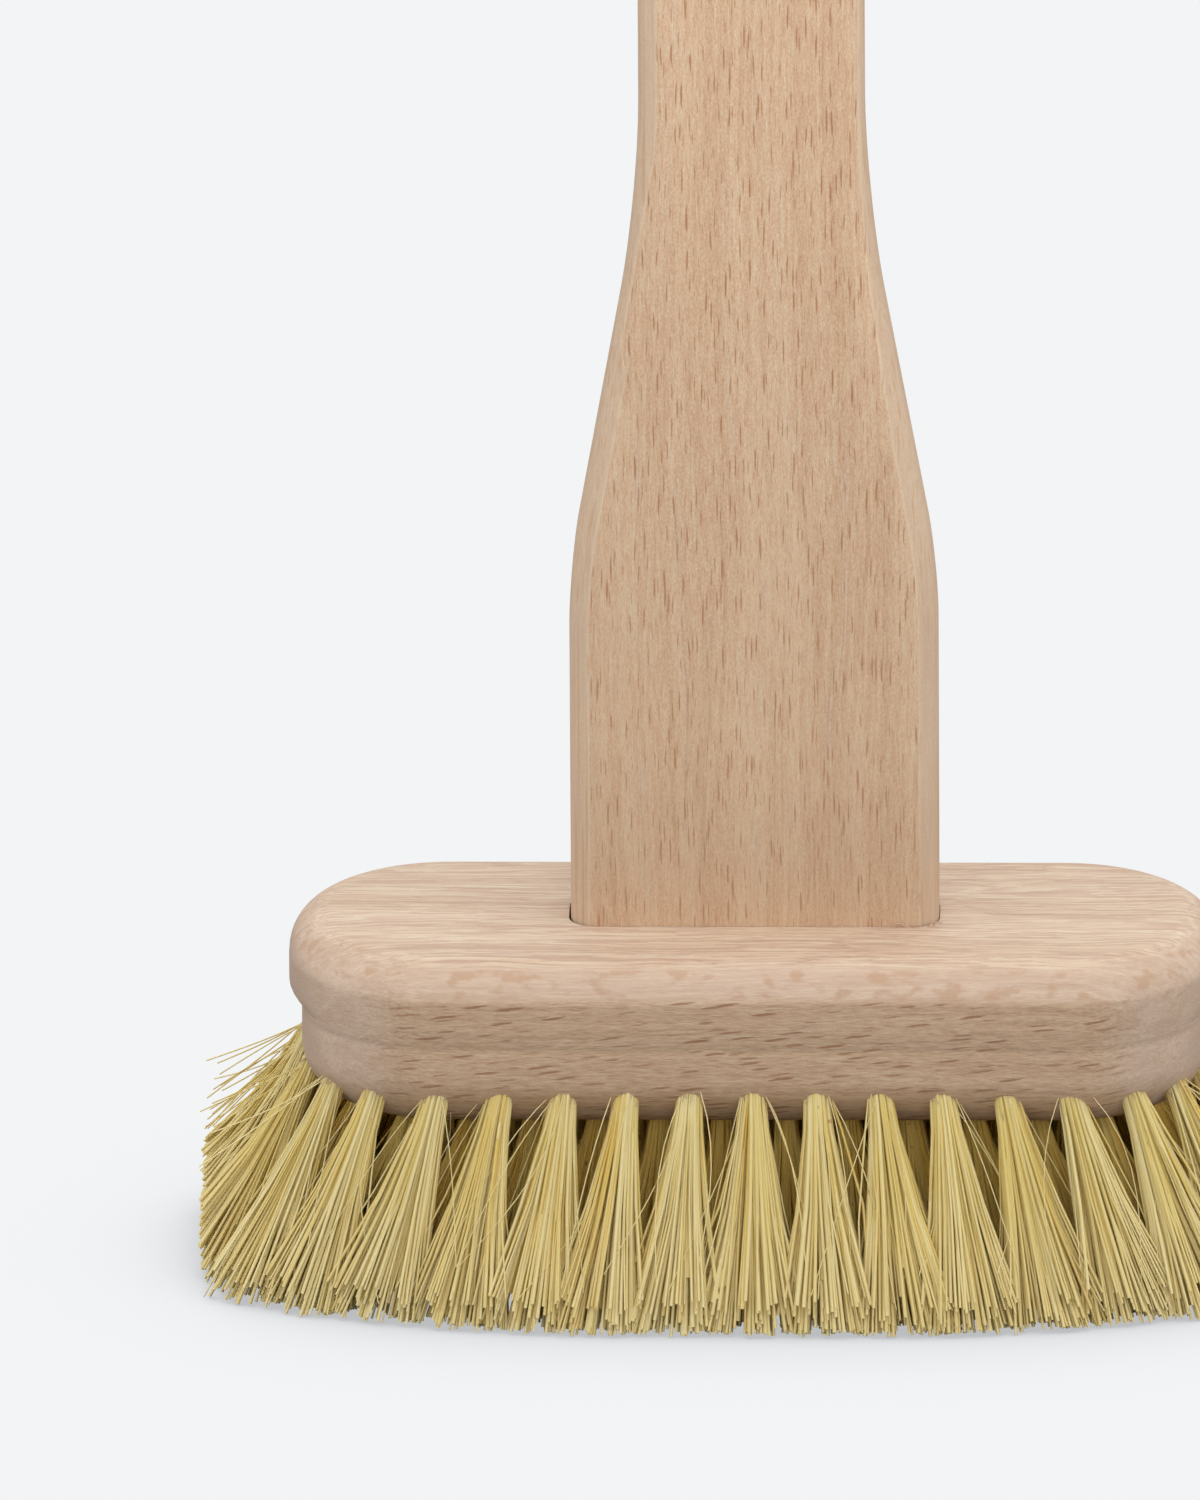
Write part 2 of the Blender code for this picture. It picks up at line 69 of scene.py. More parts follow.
class Wire:
    # A socket that takes part in sums, so that shader maths reads as maths.
    def __init__(self, graph, socket):
        self.graph = graph
        self.socket = socket

    def __add__(self, other):
        return self.graph.maths("ADD", self, other)

    def __sub__(self, other):
        return self.graph.maths("SUBTRACT", self, other)

    def __mul__(self, other):
        return self.graph.maths("MULTIPLY", self, other)

    def __truediv__(self, other):
        return self.graph.maths("DIVIDE", self, other)

    def __abs__(self):
        return self.graph.maths("ABSOLUTE", self)

    def __radd__(self, other):
        return self.graph.maths("ADD", other, self)

    def __rsub__(self, other):
        return self.graph.maths("SUBTRACT", other, self)

    def __rmul__(self, other):
        return self.graph.maths("MULTIPLY", other, self)

    def __rtruediv__(self, other):
        return self.graph.maths("DIVIDE", other, self)


class Graph:
    def __init__(self, owner):
        owner.use_nodes = True
        self.tree = owner.node_tree
        self.tree.nodes.clear()

    def add(self, kind, settings=None, inputs=None, output=0):
        # Any node: its settings first, a ramp's stops among them, then the values or links of its sockets.
        node = self.tree.nodes.new(kind)
        for name, value in (settings or {}).items():
            if name == "stops":
                self.setStops(node.color_ramp, value)
            else:
                setattr(node, name, value)
        for name, value in (inputs or {}).items():
            if isinstance(value, Wire):
                self.tree.links.new(value.socket, node.inputs[name])
            elif value is not None:
                node.inputs[name].default_value = value
        return Wire(self, node.outputs[output]) if node.outputs else node

    def setStops(self, ramp, stops):
        while len(ramp.elements) < len(stops):
            ramp.elements.new(1)
        for element, (place, colour) in zip(ramp.elements, stops):
            element.position = place
            element.color = colour

    def maths(self, operation, *values):
        return self.add("ShaderNodeMath", {"operation": operation}, dict(enumerate(values)))

    def clamped(self, value):
        return self.add("ShaderNodeClamp", None, {0: value})

    def rise(self, value, start, end):
        # 0 up to start, 1 from end on, smooth between, and falling where end is the smaller.
        inputs = {"Value": value, "From Min": start, "From Max": end}
        return self.add("ShaderNodeMapRange", {"interpolation_type": "SMOOTHSTEP"}, inputs)

    def blend(self, share, first, second, how="MIX"):
        settings = {"data_type": "RGBA", "blend_type": how, "clamp_factor": True}
        return self.add("ShaderNodeMix", settings, {0: share, 6: first, 7: second}, output=2)

    def placed(self, vector, scale=(1, 1, 1), turn=(0, 0, 0), shift=(0, 0, 0)):
        inputs = {"Vector": vector, "Location": shift, "Rotation": turn, "Scale": scale}
        return self.add("ShaderNodeMapping", None, inputs)

    def swayed(self, vector, by, reach):
        # Moves a vector by a noise's colour, times a reach for each axis.
        return self.add("ShaderNodeVectorMath", {"operation": "MULTIPLY_ADD"}, {0: by, 1: reach, 2: vector})

    def noise(self, vector, detail=2.0, rough=0.5, scale=1.0, output="Fac"):
        inputs = {"Vector": vector, "Scale": scale, "Detail": detail, "Roughness": rough}
        return self.add("ShaderNodeTexNoise", None, inputs, output)

    def cells(self, vector, flat=False):
        # The distance to the nearest cell's middle, and a value of the cell's own.
        settings = {"feature": "F1", "voronoi_dimensions": "2D" if flat else "3D"}
        distance = self.add("ShaderNodeTexVoronoi", settings, {"Vector": vector, "Scale": 1.0}, "Distance")
        own = Wire(self, distance.socket.node.outputs["Color"])
        return distance, self.split(own)[0]

    def split(self, vector):
        node = self.tree.nodes.new("ShaderNodeSeparateXYZ")
        self.tree.links.new(vector.socket, node.inputs[0])
        return [Wire(self, socket) for socket in node.outputs]

    def joined(self, x, y, z):
        return self.add("ShaderNodeCombineXYZ", None, {0: x, 1: y, 2: z})

    def close(self, shader):
        self.add("ShaderNodeOutputMaterial", None, {"Surface": shader})


def newMaterial(name):
    material = bpy.data.materials.new(name)
    return material, Graph(material)


def rgba(colour):
    return (*colour, 1.0)


def limited(value):
    return min(max(value, 0), 1)


# Beech

handleWood = {
    "pale": (0.758, 0.537, 0.358),
    "deep": (0.672, 0.446, 0.285),
    "stripe": (0.590, 0.366, 0.218),
    "ray": (0.420, 0.180, 0.080),
    "edge": (0.705, 0.545, 0.400),
    # painted highlight along the line where the rounded edge meets the face
    "paintedCreaseHighlight": (0.900, 0.760, 0.560),
    "endGrain": (0.520, 0.370, 0.250),
    "rough": 0.62,
    "grainTurn": (0, 0, 0),
    "tilt": (0, 0, 0),
    "ringCentre": (-14, 46, 0),
    "raySize": (0.92, 1.30),
    "rayStrength": 0.80,
    "mottleSize": (5.0, 1.8),
    "mottleShare": 0.80,
    "sideStart": 0.36,
    "edgeShare": 0.55,
    "edgeStart": 0.34,
    "neckRise": (125, 195),
    "neckShift": 0.44,
    "waistRise": (150, 157),
    "waistFall": (196, 168),
    "waistShift": 0.34,
    # painted shade, darker towards the handle's foot
    "foot": (0.855, 0.850, 0.845),
    "footShadeReach": 38,
    "quietReach": 110,
    "quietShare": 0.25,
}
headWood = {
    "pale": (0.672, 0.508, 0.388),
    "deep": (0.580, 0.415, 0.303),
    "stripe": (0.500, 0.334, 0.232),
    "ray": (0.330, 0.160, 0.088),
    "edge": (0.592, 0.456, 0.359),
    "endGrain": (0.520, 0.392, 0.312),
    "blotch": (0.530, 0.340, 0.222),
    "blotchShare": 0.75,
    "rough": 0.66,
    "grainTurn": (0, math.pi / 2, 0),
    "tilt": (0, math.radians(7), 0),
    "ringCentre": (42, 16, 0),
    "raySize": (1.35, 1.35),
    "rayStrength": 0.83,
    "mottleSize": (2.6, 0.45),
    "mottleShare": 0.55,
    "sideStart": 0.80,
    # painted warm shade on the head's upright walls
    "wall": (0.975, 0.920, 0.820),
    # painted shadow just under the cover's edge, where the stock steps back
    "stepShadow": (0.76, 0.75, 0.74),
    "stepShadowDrop": 0.7,
    "stepShadowReach": (1.0, 0.1),
    "topLines": 0.95,
}
beechFinish = {
    "streakTones": ((0.37, 0.365, 0.36), (0.63, 0.63, 0.63)),
    "streakShare": 0.55,
    "mottleTones": ((0.37, 0.355, 0.34), (0.63, 0.64, 0.65)),
    "lineTones": ((0.335, 0.335, 0.335), (0.605, 0.605, 0.60)),
    "darkShare": 0.45,
    "lightShare": 0.60,
    "longRay": (0.84, 8.0),
    "shortRay": (0.60, 4.2),
    # strength of the painted highlight along that line
    "creaseHighlightShare": 0.35,
    "hairShare": 0.9,
    "endShare": 0.8,
    "poreShare": 0.35,
    "bumpStrength": 0.45,
    "bumpDepth": 0.12 * mm,
    "specular": 0.35,
}


def toned(g, amount, tones):
    dark, light = tones
    return g.blend(amount, rgba(dark), rgba(light))


def growthBands(g, grain):
    # Broad bands that waver along the grain, with single darker and lighter lines among them
    sway = g.noise(g.placed(grain, scale=(0.05, 0.05, 0.012)), output="Color")
    bent = g.swayed(grain, sway, (9, 9, 0))
    broad = g.noise(g.placed(bent, scale=(0.30, 0.22, 0.004)), 3.0, 0.55)
    narrow = g.noise(g.placed(bent, scale=(1.3, 1.1, 0.016), shift=(3, 7, 1)), 2.0, 0.6)
    band = g.rise(broad * 0.55 + narrow * 0.45, 0.36, 0.64)
    dark = g.rise(g.noise(g.placed(bent, scale=(0.8, 0.6, 0.006), shift=(11, 2, 5)), 1.0), 0.60, 0.74)
    light = g.rise(g.noise(g.placed(bent, scale=(1.9, 1.5, 0.004), shift=(2, 8, 15)), 1.0), 0.62, 0.70)
    return bent, band, dark, light


def rayFlecks(g, wood, grain, streak):
    # Ribbons through the board's depth, cut across as spindles of two sizes
    tilted = g.placed(grain, turn=wood["tilt"])
    wander = g.noise(g.placed(tilted, scale=(0.5, 0, 0.16)), 1.0, output="Color")
    across, _, lengthways = g.split(g.swayed(tilted, wander, (0.5, 0, 0)))
    wide, tall = wood["raySize"]
    ragged = (streak - 0.5) * 0.10
    width, length = beechFinish["longRay"]
    spindle = g.joined(across / (width * wide), lengthways / (length * tall), 0)
    fromLong, ownLong = g.cells(spindle, flat=True)
    width, length = beechFinish["shortRay"]
    spindle = g.joined(across / (width * wide) + 4, lengthways / (length * tall), 0)
    fromShort, ownShort = g.cells(spindle, flat=True)
    long = g.rise(fromLong + ragged, 0.11 + ownLong * 0.15, 0.03 + ownLong * 0.10)
    short = g.rise(fromShort + ragged, 0.08 + ownShort * 0.10, 0.02 + ownShort * 0.06)
    return g.clamped(long * (0.45 + ownLong * 0.55) + short * 0.30), lengthways


def planedTop(g, wood, grain, upward, colour):
    # Long wavy lines side by side
    wavy = g.noise(g.placed(grain, scale=(0.10, 0.10, 0.03)), output="Color")
    flow = g.swayed(grain, wavy, (5, 5, 0))
    lines = g.noise(g.placed(flow, scale=(1.9, 1.9, 0.030), shift=(1, 2, 3)), 3.0, 0.6)
    drawn = g.rise(lines, 0.34, 0.56) * 0.6 + g.rise(abs(lines - 0.47), 0.0, 0.05) * 0.4
    lined = g.blend(1.0, colour, toned(g, drawn, beechFinish["lineTones"]), "OVERLAY")
    return g.blend(g.rise(upward, 0.80, 0.97) * wood["topLines"], colour, lined)


def paintedWallAndStepShade(g, wood, metres, upward, turned, band, colour):
    # Painted shade: the upright walls are tinted darker and warmer for the warm bounce light they get, and a
    # painted shadow darkens the stock just under the cover's edge
    wall = turned * (1 - g.rise(upward, 0.20, 0.60))
    colour = g.blend(wall, colour, rgba(wood["wall"]), "MULTIPLY")
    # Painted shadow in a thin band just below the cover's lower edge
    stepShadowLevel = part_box("cover_plate")[0].z / mm - wood["stepShadowDrop"]
    stepShadow = g.rise(abs(g.split(metres)[2] / mm - stepShadowLevel), *wood["stepShadowReach"])
    return g.blend(stepShadow * (0.6 + band * 0.4), colour, rgba(wood["stepShadow"]), "MULTIPLY")


def roundingFlecks(g, wood, grain, upward, colour):
    # Flecks on the rounded edge, where the tool cut across the rays
    spots = g.noise(g.placed(grain, scale=(0.42, 0.42, 0.26), shift=(6, 6, 2)))
    rounding = g.rise(upward, 0.35, 0.48) * g.rise(upward, 0.92, 0.80)
    share = g.rise(spots, 0.51, 0.68) * rounding * wood["blotchShare"]
    return g.blend(share, colour, rgba(wood["blotch"]))


def edgeNarrowing(g, wood, lengthways, sideways):
    # The right-hand edge is sanded narrower towards the neck, and the left-hand one along the taper
    neck = g.rise(lengthways, *wood["neckRise"]) * g.rise(sideways, 0, 0.2) * wood["neckShift"]
    waist = g.rise(lengthways, *wood["waistRise"]) * g.rise(lengthways, *wood["waistFall"])
    return neck + waist * g.rise(sideways, 0, -0.2) * wood["waistShift"]


def sandedEdges(g, wood, grain, sidelong, start, colour):
    # The long rounded edges are sanded paler, with long thin lines, and a painted highlight runs along the
    # line where they meet the face
    side = g.rise(sidelong, start, start + 0.06)
    hair = g.noise(g.placed(grain, scale=(1.9, 1.9, 0.035), shift=(9, 4, 1)))
    paintedCreaseHighlight = g.rise(sidelong, start - 0.04, start + 0.01) * g.rise(sidelong, start + 0.12, start + 0.04)
    colour = g.blend(paintedCreaseHighlight * beechFinish["creaseHighlightShare"], colour, rgba(wood["paintedCreaseHighlight"]))
    hairs = g.rise(hair, 0.53, 0.68) * beechFinish["hairShare"]
    sanded = g.blend(hairs, rgba(wood["edge"]), rgba(wood["stripe"]))
    return g.blend(side * wood["edgeShare"], colour, sanded)


def endRings(g, wood, grain, streak):
    # Growth rings round the tree's middle, with fine pores
    centred = g.placed(grain, scale=(1, 1, 0), shift=wood["ringCentre"])
    radius = g.add("ShaderNodeVectorMath", {"operation": "LENGTH"}, {0: centred}, "Value")
    rings = g.noise(g.joined(radius * 0.9, streak * 0.4, 0), 2.0, 0.6)
    pores = g.rise(g.cells(g.placed(grain, scale=(3.0, 3.0, 3.0)))[0], 0.30, 0.10)
    ringed = g.blend(g.rise(rings, 0.35, 0.65), rgba(wood["endGrain"]), rgba(wood["deep"]))
    return g.blend(pores * beechFinish["poreShare"], ringed, rgba(wood["ray"]))


def beech(name, wood):
    # Grain runs along the third axis after the turn, in millimetres.
    material, g = newMaterial(name)
    look = beechFinish
    metres = g.add("ShaderNodeTexCoord", output="Object")
    grain = g.placed(metres, scale=toMillimetres, turn=wood["grainTurn"])
    normal = g.add("ShaderNodeTexCoord", output="Normal")
    upward = g.split(normal)[2]
    sideways, _, endwise = g.split(g.placed(normal, turn=wood["grainTurn"]))
    sidelong = abs(sideways)
    turned = 1 - g.rise(abs(endwise), 0.20, 0.55)
    cutEnd = g.rise(abs(endwise), 0.72, 0.93)

    # Growth bands, fine fibre streaks and the sanded, mottled surface
    bent, band, dark, light = growthBands(g, grain)
    streak = g.rise(g.noise(g.placed(grain, scale=(2.8, 2.8, 0.32)), 3.0, 0.75), 0.25, 0.75)
    fine, coarse = wood["mottleSize"]
    grit = g.noise(g.placed(bent, scale=(fine, fine, coarse), shift=(5, 1, 9)), 3.0, 0.75)
    mottle = g.rise(grit, 0.25, 0.75)

    rays, lengthways = rayFlecks(g, wood, grain, streak)
    rays = rays * turned
    sideStart = wood["sideStart"]
    if "edgeShare" in wood:
        narrower = edgeNarrowing(g, wood, lengthways, sideways)
        sideStart = narrower + sideStart
    rays = rays * (1 - g.rise(sidelong, sideStart, sideStart + 0.15))

    colour = g.blend(band, rgba(wood["deep"]), rgba(wood["pale"]))
    colour = g.blend(dark * look["darkShare"], colour, rgba(wood["stripe"]))
    colour = g.blend(light * look["lightShare"], colour, rgba(wood["edge"]))
    calm = 0.45 + turned * 0.55
    if "quietShare" in wood:
        # The figure is quieter towards the handle's foot
        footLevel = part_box("cover_plate")[1].z / mm
        quiet = 1 - g.rise(lengthways, footLevel + wood["quietReach"], footLevel) * wood["quietShare"]
        calm = calm * quiet
        rays = rays * quiet
    if "topLines" in wood:
        rays = rays * (1 - g.rise(upward, 0.20, 0.50))
        calm = calm * (1 - g.rise(upward, 0.20, 0.45) * 0.55)
        colour = planedTop(g, wood, grain, upward, colour)
        colour = paintedWallAndStepShade(g, wood, metres, upward, turned, band, colour)
    colour = g.blend(calm * look["streakShare"], colour, toned(g, streak, look["streakTones"]), "OVERLAY")
    colour = g.blend(calm * wood["mottleShare"], colour, toned(g, mottle, look["mottleTones"]), "OVERLAY")
    colour = g.blend(rays * wood["rayStrength"], colour, rgba(wood["ray"]))
    if "blotchShare" in wood:
        colour = roundingFlecks(g, wood, grain, upward, colour)
    if "edgeShare" in wood:
        colour = sandedEdges(g, wood, grain, sidelong, narrower + wood["edgeStart"], colour)
    if "footShadeReach" in wood:
        # Painted shade: the handle is darker towards its foot, down by the head
        paintedFootShade = g.rise(lengthways, footLevel + wood["footShadeReach"], footLevel)
        colour = g.blend(paintedFootShade, colour, rgba(wood["foot"]), "MULTIPLY")
    colour = g.blend(cutEnd * look["endShare"], colour, endRings(g, wood, grain, streak))

    height = streak * 0.5 + mottle * 0.7 - rays * 0.4
    bump = g.add("ShaderNodeBump", None, {
        "Strength": look["bumpStrength"], "Distance": look["bumpDepth"], "Height": height,
    }, "Normal")
    rough = wood["rough"] + (mottle - 0.5) * 0.12 + rays * 0.1
    shader = g.add("ShaderNodeBsdfPrincipled", None, {
        "Base Color": colour, "Roughness": rough, "Normal": bump, "Specular IOR Level": look["specular"],
    })
    g.close(shader)
    return material


# Plant fibre

fibreLook = {
    "pale": (0.875, 0.745, 0.375),
    "straw": (0.795, 0.625, 0.222),
    "gold": (0.785, 0.570, 0.155),
    "green": (0.760, 0.650, 0.215),
    "spot": (0.480, 0.210, 0.055),
    "tip": (0.930, 0.785, 0.405),
    "root": (0.780, 0.670, 0.410),
}
# Painted warm shade: the middle and inner rings sit in the tufts' shade, and their copy of the fibre colours
# is warmer and more saturated, standing in for light glowing through the fibres
warmShadeFibreLook = {
    "pale": (0.950, 0.730, 0.235),
    "straw": (0.940, 0.665, 0.165),
    "gold": (0.925, 0.600, 0.115),
    "green": (0.905, 0.680, 0.170),
    "spot": (0.480, 0.210, 0.055),
    "tip": (0.910, 0.700, 0.260),
    "root": (0.940, 0.660, 0.165),
}


def plantFibre(name, look):
    material, g = newMaterial(name)
    tone = g.add("ShaderNodeAttribute", {"attribute_name": "tone"}, output="Fac")
    reach = g.add("ShaderNodeAttribute", {"attribute_name": "reach"}, output="Fac")
    stops = [
        (0.00, rgba(look["gold"])), (0.22, rgba(look["straw"])), (0.55, rgba(look["straw"])),
        (0.80, rgba(look["pale"])), (1.00, rgba(look["pale"])),
    ]
    colour = g.add("ShaderNodeValToRGB", {"stops": stops}, {"Fac": tone})
    along = g.joined(tone * 311, reach * 6, 0)
    patch = g.noise(along)
    colour = g.blend(g.rise(patch, 0.52, 0.70) * 0.30, colour, rgba(look["green"]))
    colour = g.blend(g.rise(patch, 0.46, 0.30) * 0.5, colour, rgba(look["pale"]))
    flaw = g.noise(g.joined(tone * 877, reach * 14, 3), 0.0)
    colour = g.blend(g.rise(flaw, 0.83, 0.89) * 0.8, colour, rgba(look["spot"]))
    colour = g.blend(g.rise(reach, 0.45, 0.10) * 0.45, colour, rgba(look["root"]))
    colour = g.blend(g.rise(reach, 0.60, 1.0) * 0.5, colour, rgba(look["tip"]))
    shader = g.add("ShaderNodeBsdfPrincipled", None, {
        "Base Color": colour, "Roughness": 0.5 + (patch - 0.5) * 0.3, "Specular IOR Level": 0.2,
    })
    g.close(shader)
    return material


def drawnSteel():
    material, g = newMaterial("drawnSteel")
    place = g.add("ShaderNodeTexCoord", output="Object")
    scuff = g.noise(g.placed(place, scale=toMillimetres), 3.0, scale=2.0)
    colour = g.blend(scuff, (0.42, 0.42, 0.43, 1), (0.60, 0.60, 0.61, 1))
    bump = g.add("ShaderNodeBump", None, {"Strength": 0.2, "Distance": 0.02 * mm, "Height": scuff}, "Normal")
    shader = g.add("ShaderNodeBsdfPrincipled", None, {
        "Base Color": colour, "Metallic": 1.0, "Roughness": 0.28 + scuff * 0.2, "Normal": bump,
    })
    g.close(shader)
    return material


handleBeech = beech("handleBeech", handleWood)
headBeech = beech("headBeech", headWood)
fibreMaterials = {
    "outer": plantFibre("outerFibre", fibreLook),
    "middle": plantFibre("middleFibreWarmShade", warmShadeFibreLook),
    "inner": plantFibre("innerFibreWarmShade", warmShadeFibreLook),
}
steelMaterial = drawnSteel()
print("materials ready")


# Meshes

def newObject(name, data):
    made = bpy.data.objects.new(name, data)
    bpy.context.scene.collection.objects.link(made)
    return made


def meshOf(bm, name):
    mesh = bpy.data.meshes.new(name)
    bm.to_mesh(mesh)
    bm.free()
    return mesh


def closeSeams(bm):
    bmesh.ops.remove_doubles(bm, verts=bm.verts, dist=touching)
    bmesh.ops.recalc_face_normals(bm, faces=bm.faces)


def addPiece(mesh, name, material):
    piece = newObject(name, mesh)
    mesh.materials.append(material)
    return piece


def finished(bm, name, material):
    closeSeams(bm)
    mesh = meshOf(bm, name)
    mesh.shade_smooth()
    piece = addPiece(mesh, name, material)
    normals = piece.modifiers.new("evenNormals", "WEIGHTED_NORMAL")
    normals.keep_sharp = True
    return piece


def carve(piece, cutterMeshes):
    # The cutters join into one mesh, which is taken out of the piece for good.
    bm = bmesh.new()
    for mesh in cutterMeshes:
        bm.from_mesh(mesh)
    cutter = newObject("cutter", meshOf(bm, "cutter"))
    boolean = piece.modifiers.new("holes", "BOOLEAN")
    boolean.operation = "DIFFERENCE"
    boolean.solver = "EXACT"
    boolean.use_self = True
    boolean.object = cutter
    with bpy.context.temp_override(object=piece, active_object=piece):
        bpy.ops.object.modifier_move_to_index(modifier="holes", index=0)
        bpy.ops.object.modifier_apply(modifier="holes")
    bpy.data.objects.remove(cutter)
    piece.data.set_sharp_from_angle(angle=sharpAngle)


def bevelled(bm, edges, radius, segments):
    bmesh.ops.bevel(
        bm, geom=edges, offset=radius, segments=segments, profile=0.5, affect="EDGES", material=-1,
        clamp_overlap=False,
    )


def level(edge, height):
    return all(abs(vert.co.z - height) < touching for vert in edge.verts)


def roundedBlock(low, high, corner, topRadius, bottomRadius, steps):
    bm = bmesh.new()
    bmesh.ops.create_cube(bm, size=1)
    bmesh.ops.scale(bm, vec=high - low, verts=bm.verts)
    bmesh.ops.translate(bm, vec=(high + low) / 2, verts=bm.verts)
    upright = [edge for edge in bm.edges if abs(edge.verts[0].co.z - edge.verts[1].co.z) > mm]
    bevelled(bm, upright, corner, steps["corner"])
    for height, radius, side in ((high.z, topRadius, "top"), (low.z, bottomRadius, "bottom")):
        if radius:
            bevelled(bm, [edge for edge in bm.edges if level(edge, height)], radius, steps[side])
    return bm


# Handle

handle = {
    "edge": 4.7 * mm,
    "neckWidth": 36.2 * mm,
    "taperStart": 59.0 * mm,
    "taperEnd": 122.4 * mm,
    "shoulderReach": 9.1 * mm,
    "neckReach": 17.1 * mm,
    "hangDrop": 20.0 * mm,
    "hangRadius": 5.0 * mm,
    "hangRim": 1.0 * mm,
    "arcSteps": 14,
    "topSteps": 24,
    "edgeSteps": 8,
    "hangSteps": 48,
}


def roundCorner(bm, places, reach, steps):
    verts = [min(bm.verts, key=lambda vert: (vert.co - place).length) for place in places]
    bmesh.ops.bevel(
        bm, geom=verts, offset=reach, offset_type="ABSOLUTE", segments=steps, profile=0.5, affect="VERTICES",
        material=-1, clamp_overlap=False,
    )


def turnedCutter(profile, steps, matrix):
    bm = bmesh.new()
    verts = [bm.verts.new((radius, 0, height)) for radius, height in profile]
    edges = [bm.edges.new(pair) for pair in zip(verts, verts[1:])]
    bmesh.ops.spin(
        bm, geom=verts + edges, cent=(0, 0, 0), axis=(0, 0, 1), angle=math.tau, steps=steps, use_merge=True
    )
    closeSeams(bm)
    bmesh.ops.transform(bm, matrix=matrix, verts=bm.verts)
    return meshOf(bm, "turned")


def makeHandle():
    low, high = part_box("handle")
    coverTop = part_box("cover_plate")[1].z
    footHalf = high.x
    neckHalf = handle["neckWidth"] / 2
    start = coverTop + handle["taperStart"]
    end = coverTop + handle["taperEnd"]
    right = [(footHalf, low.z), (footHalf, start), (neckHalf, end), (neckHalf, high.z)]
    outline = right + [(-x, z) for x, z in reversed(right)]
    bm = bmesh.new()
    bm.faces.new([bm.verts.new((x, low.y, z)) for x, z in outline])
    for index, reach, steps in (
        (1, handle["shoulderReach"], handle["arcSteps"]),
        (2, handle["neckReach"], handle["arcSteps"]),
        (3, neckHalf, handle["topSteps"]),
    ):
        x, z = right[index]
        roundCorner(bm, [Vector((x, low.y, z)), Vector((-x, low.y, z))], reach, steps)
    bmesh.ops.remove_doubles(bm, verts=bm.verts, dist=touching)
    grown = bmesh.ops.extrude_face_region(bm, geom=list(bm.faces))["geom"]
    back = [item for item in grown if isinstance(item, bmesh.types.BMVert)]
    bmesh.ops.translate(bm, verts=back, vec=(0, high.y - low.y, 0))
    rims = [
        edge for edge in bm.edges
        if abs(edge.verts[0].co.y - edge.verts[1].co.y) < touching and not level(edge, low.z)
    ]
    bevelled(bm, rims, handle["edge"], handle["edgeSteps"])
    board = finished(bm, "handleBoard", handleBeech)
    half = (high.y - low.y) / 2
    rim = handle["hangRim"]
    flare = handle["hangRadius"] + 2 * rim
    profile = [
        (0, -half - rim), (flare, -half - rim), (handle["hangRadius"], rim - half),
        (handle["hangRadius"], half - rim), (flare, half + rim), (0, half + rim),
    ]
    place = Matrix.Translation((0, 0, high.z - handle["hangDrop"])) @ Matrix.Rotation(math.pi / 2, 4, "X")
    carve(board, [turnedCutter(profile, handle["hangSteps"], place)])
    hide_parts("handle")
    return board


# Head: cover and bristle stock

cover = {
    "corner": 25.5 * mm,
    "topRadius": 6.0 * mm,
    "topAngle": 18.0,
    "underRadius": 2.4 * mm,
    "valleyDepth": 0.25 * mm,
    "valleyHeight": 4.5 * mm,
    "easeStart": 0.10,
    "easeLength": 0.55,
    "steps": {"corner": 40, "top": 12, "bottom": 6},
}
mortise = {
    "leftGap": 0.32 * mm,
    "rightGap": 0.12 * mm,
    "sideGap": 0.10 * mm,
    "underGap": 0.3 * mm,
    "above": 2.0 * mm,
    "corner": 4.3 * mm,
    "steps": {"corner": 10},
}
stock = {
    "setBack": 2.0 * mm,
    "corner": 23.5 * mm,
    "lowerRadius": 8.0 * mm,
    "easeReach": 6.0 * mm,
    "easeBelow": 0.85,                 # the share of that reach that lies under the upright wall
    "wallSlices": 6,
    "tuftSlice": 4 * mm,               # the tuft nodes hold this much of the stock above its underside
    "holeRadius": 1.9 * mm,
    "holeDepth": 5.2 * mm,
    "holeSteps": 24,
    "steps": {"corner": 40, "bottom": 12},
}


def stockBottom():
    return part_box("inner_tufts")[1].z - stock["tuftSlice"]


def outwardAt(place, high):
    # The outline's outward direction at a point of the head's wall
    beyond = Vector((
        math.copysign(max(abs(place.x) - high.x + cover["corner"], 0), place.x),
        math.copysign(max(abs(place.y) - high.y + cover["corner"], 0), place.y),
    ))
    return beyond.normalized()


def easeFront(bm, insetAt, jointLevel):
    # The joint's step stays whole at the ends, and along the front and back it eases into a shallow valley.
    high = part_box("cover_plate")[1]
    for vert in bm.verts:
        out = outwardAt(vert.co, high)
        share = limited((abs(out.y) - cover["easeStart"]) / cover["easeLength"])
        inset = insetAt(vert.co.z)
        away = min(abs(vert.co.z - jointLevel) / cover["valleyHeight"], 1)
        valley = min(cover["valleyDepth"] * (1 - away) ** 2, inset) if inset else 0
        vert.co.xy += out * (inset - valley) * share * share * (3 - 2 * share)


def easeTop(bm, high):
    # Lays the round top edge back along the front: it meets the wall at an angle and reaches further in.
    radius = cover["topRadius"]
    foot = high.z - radius
    for vert in bm.verts:
        if vert.co.z < foot - touching:
            continue
        rise = min((vert.co.z - foot) / radius, 1)
        turn = math.asin(rise)
        out = outwardAt(vert.co, high)
        angle = math.radians(cover["topAngle"]) * (0.5 - 0.5 * out.y)
        wide = radius / (1 - math.sin(angle))
        now = angle + (math.pi / 2 - angle) * turn / (math.pi / 2)
        shift = radius * (1 - math.cos(turn)) - wide * (math.cos(angle) - math.cos(now))
        vert.co.xy += out * shift
        vert.co.z = foot + wide * (math.sin(now) - math.sin(angle))


def slicedAt(bm, heights):
    for height in heights:
        geometry = list(bm.verts) + list(bm.edges) + list(bm.faces)
        bmesh.ops.bisect_plane(bm, geom=geometry, dist=touching, plane_co=(0, 0, height), plane_no=(0, 0, 1))


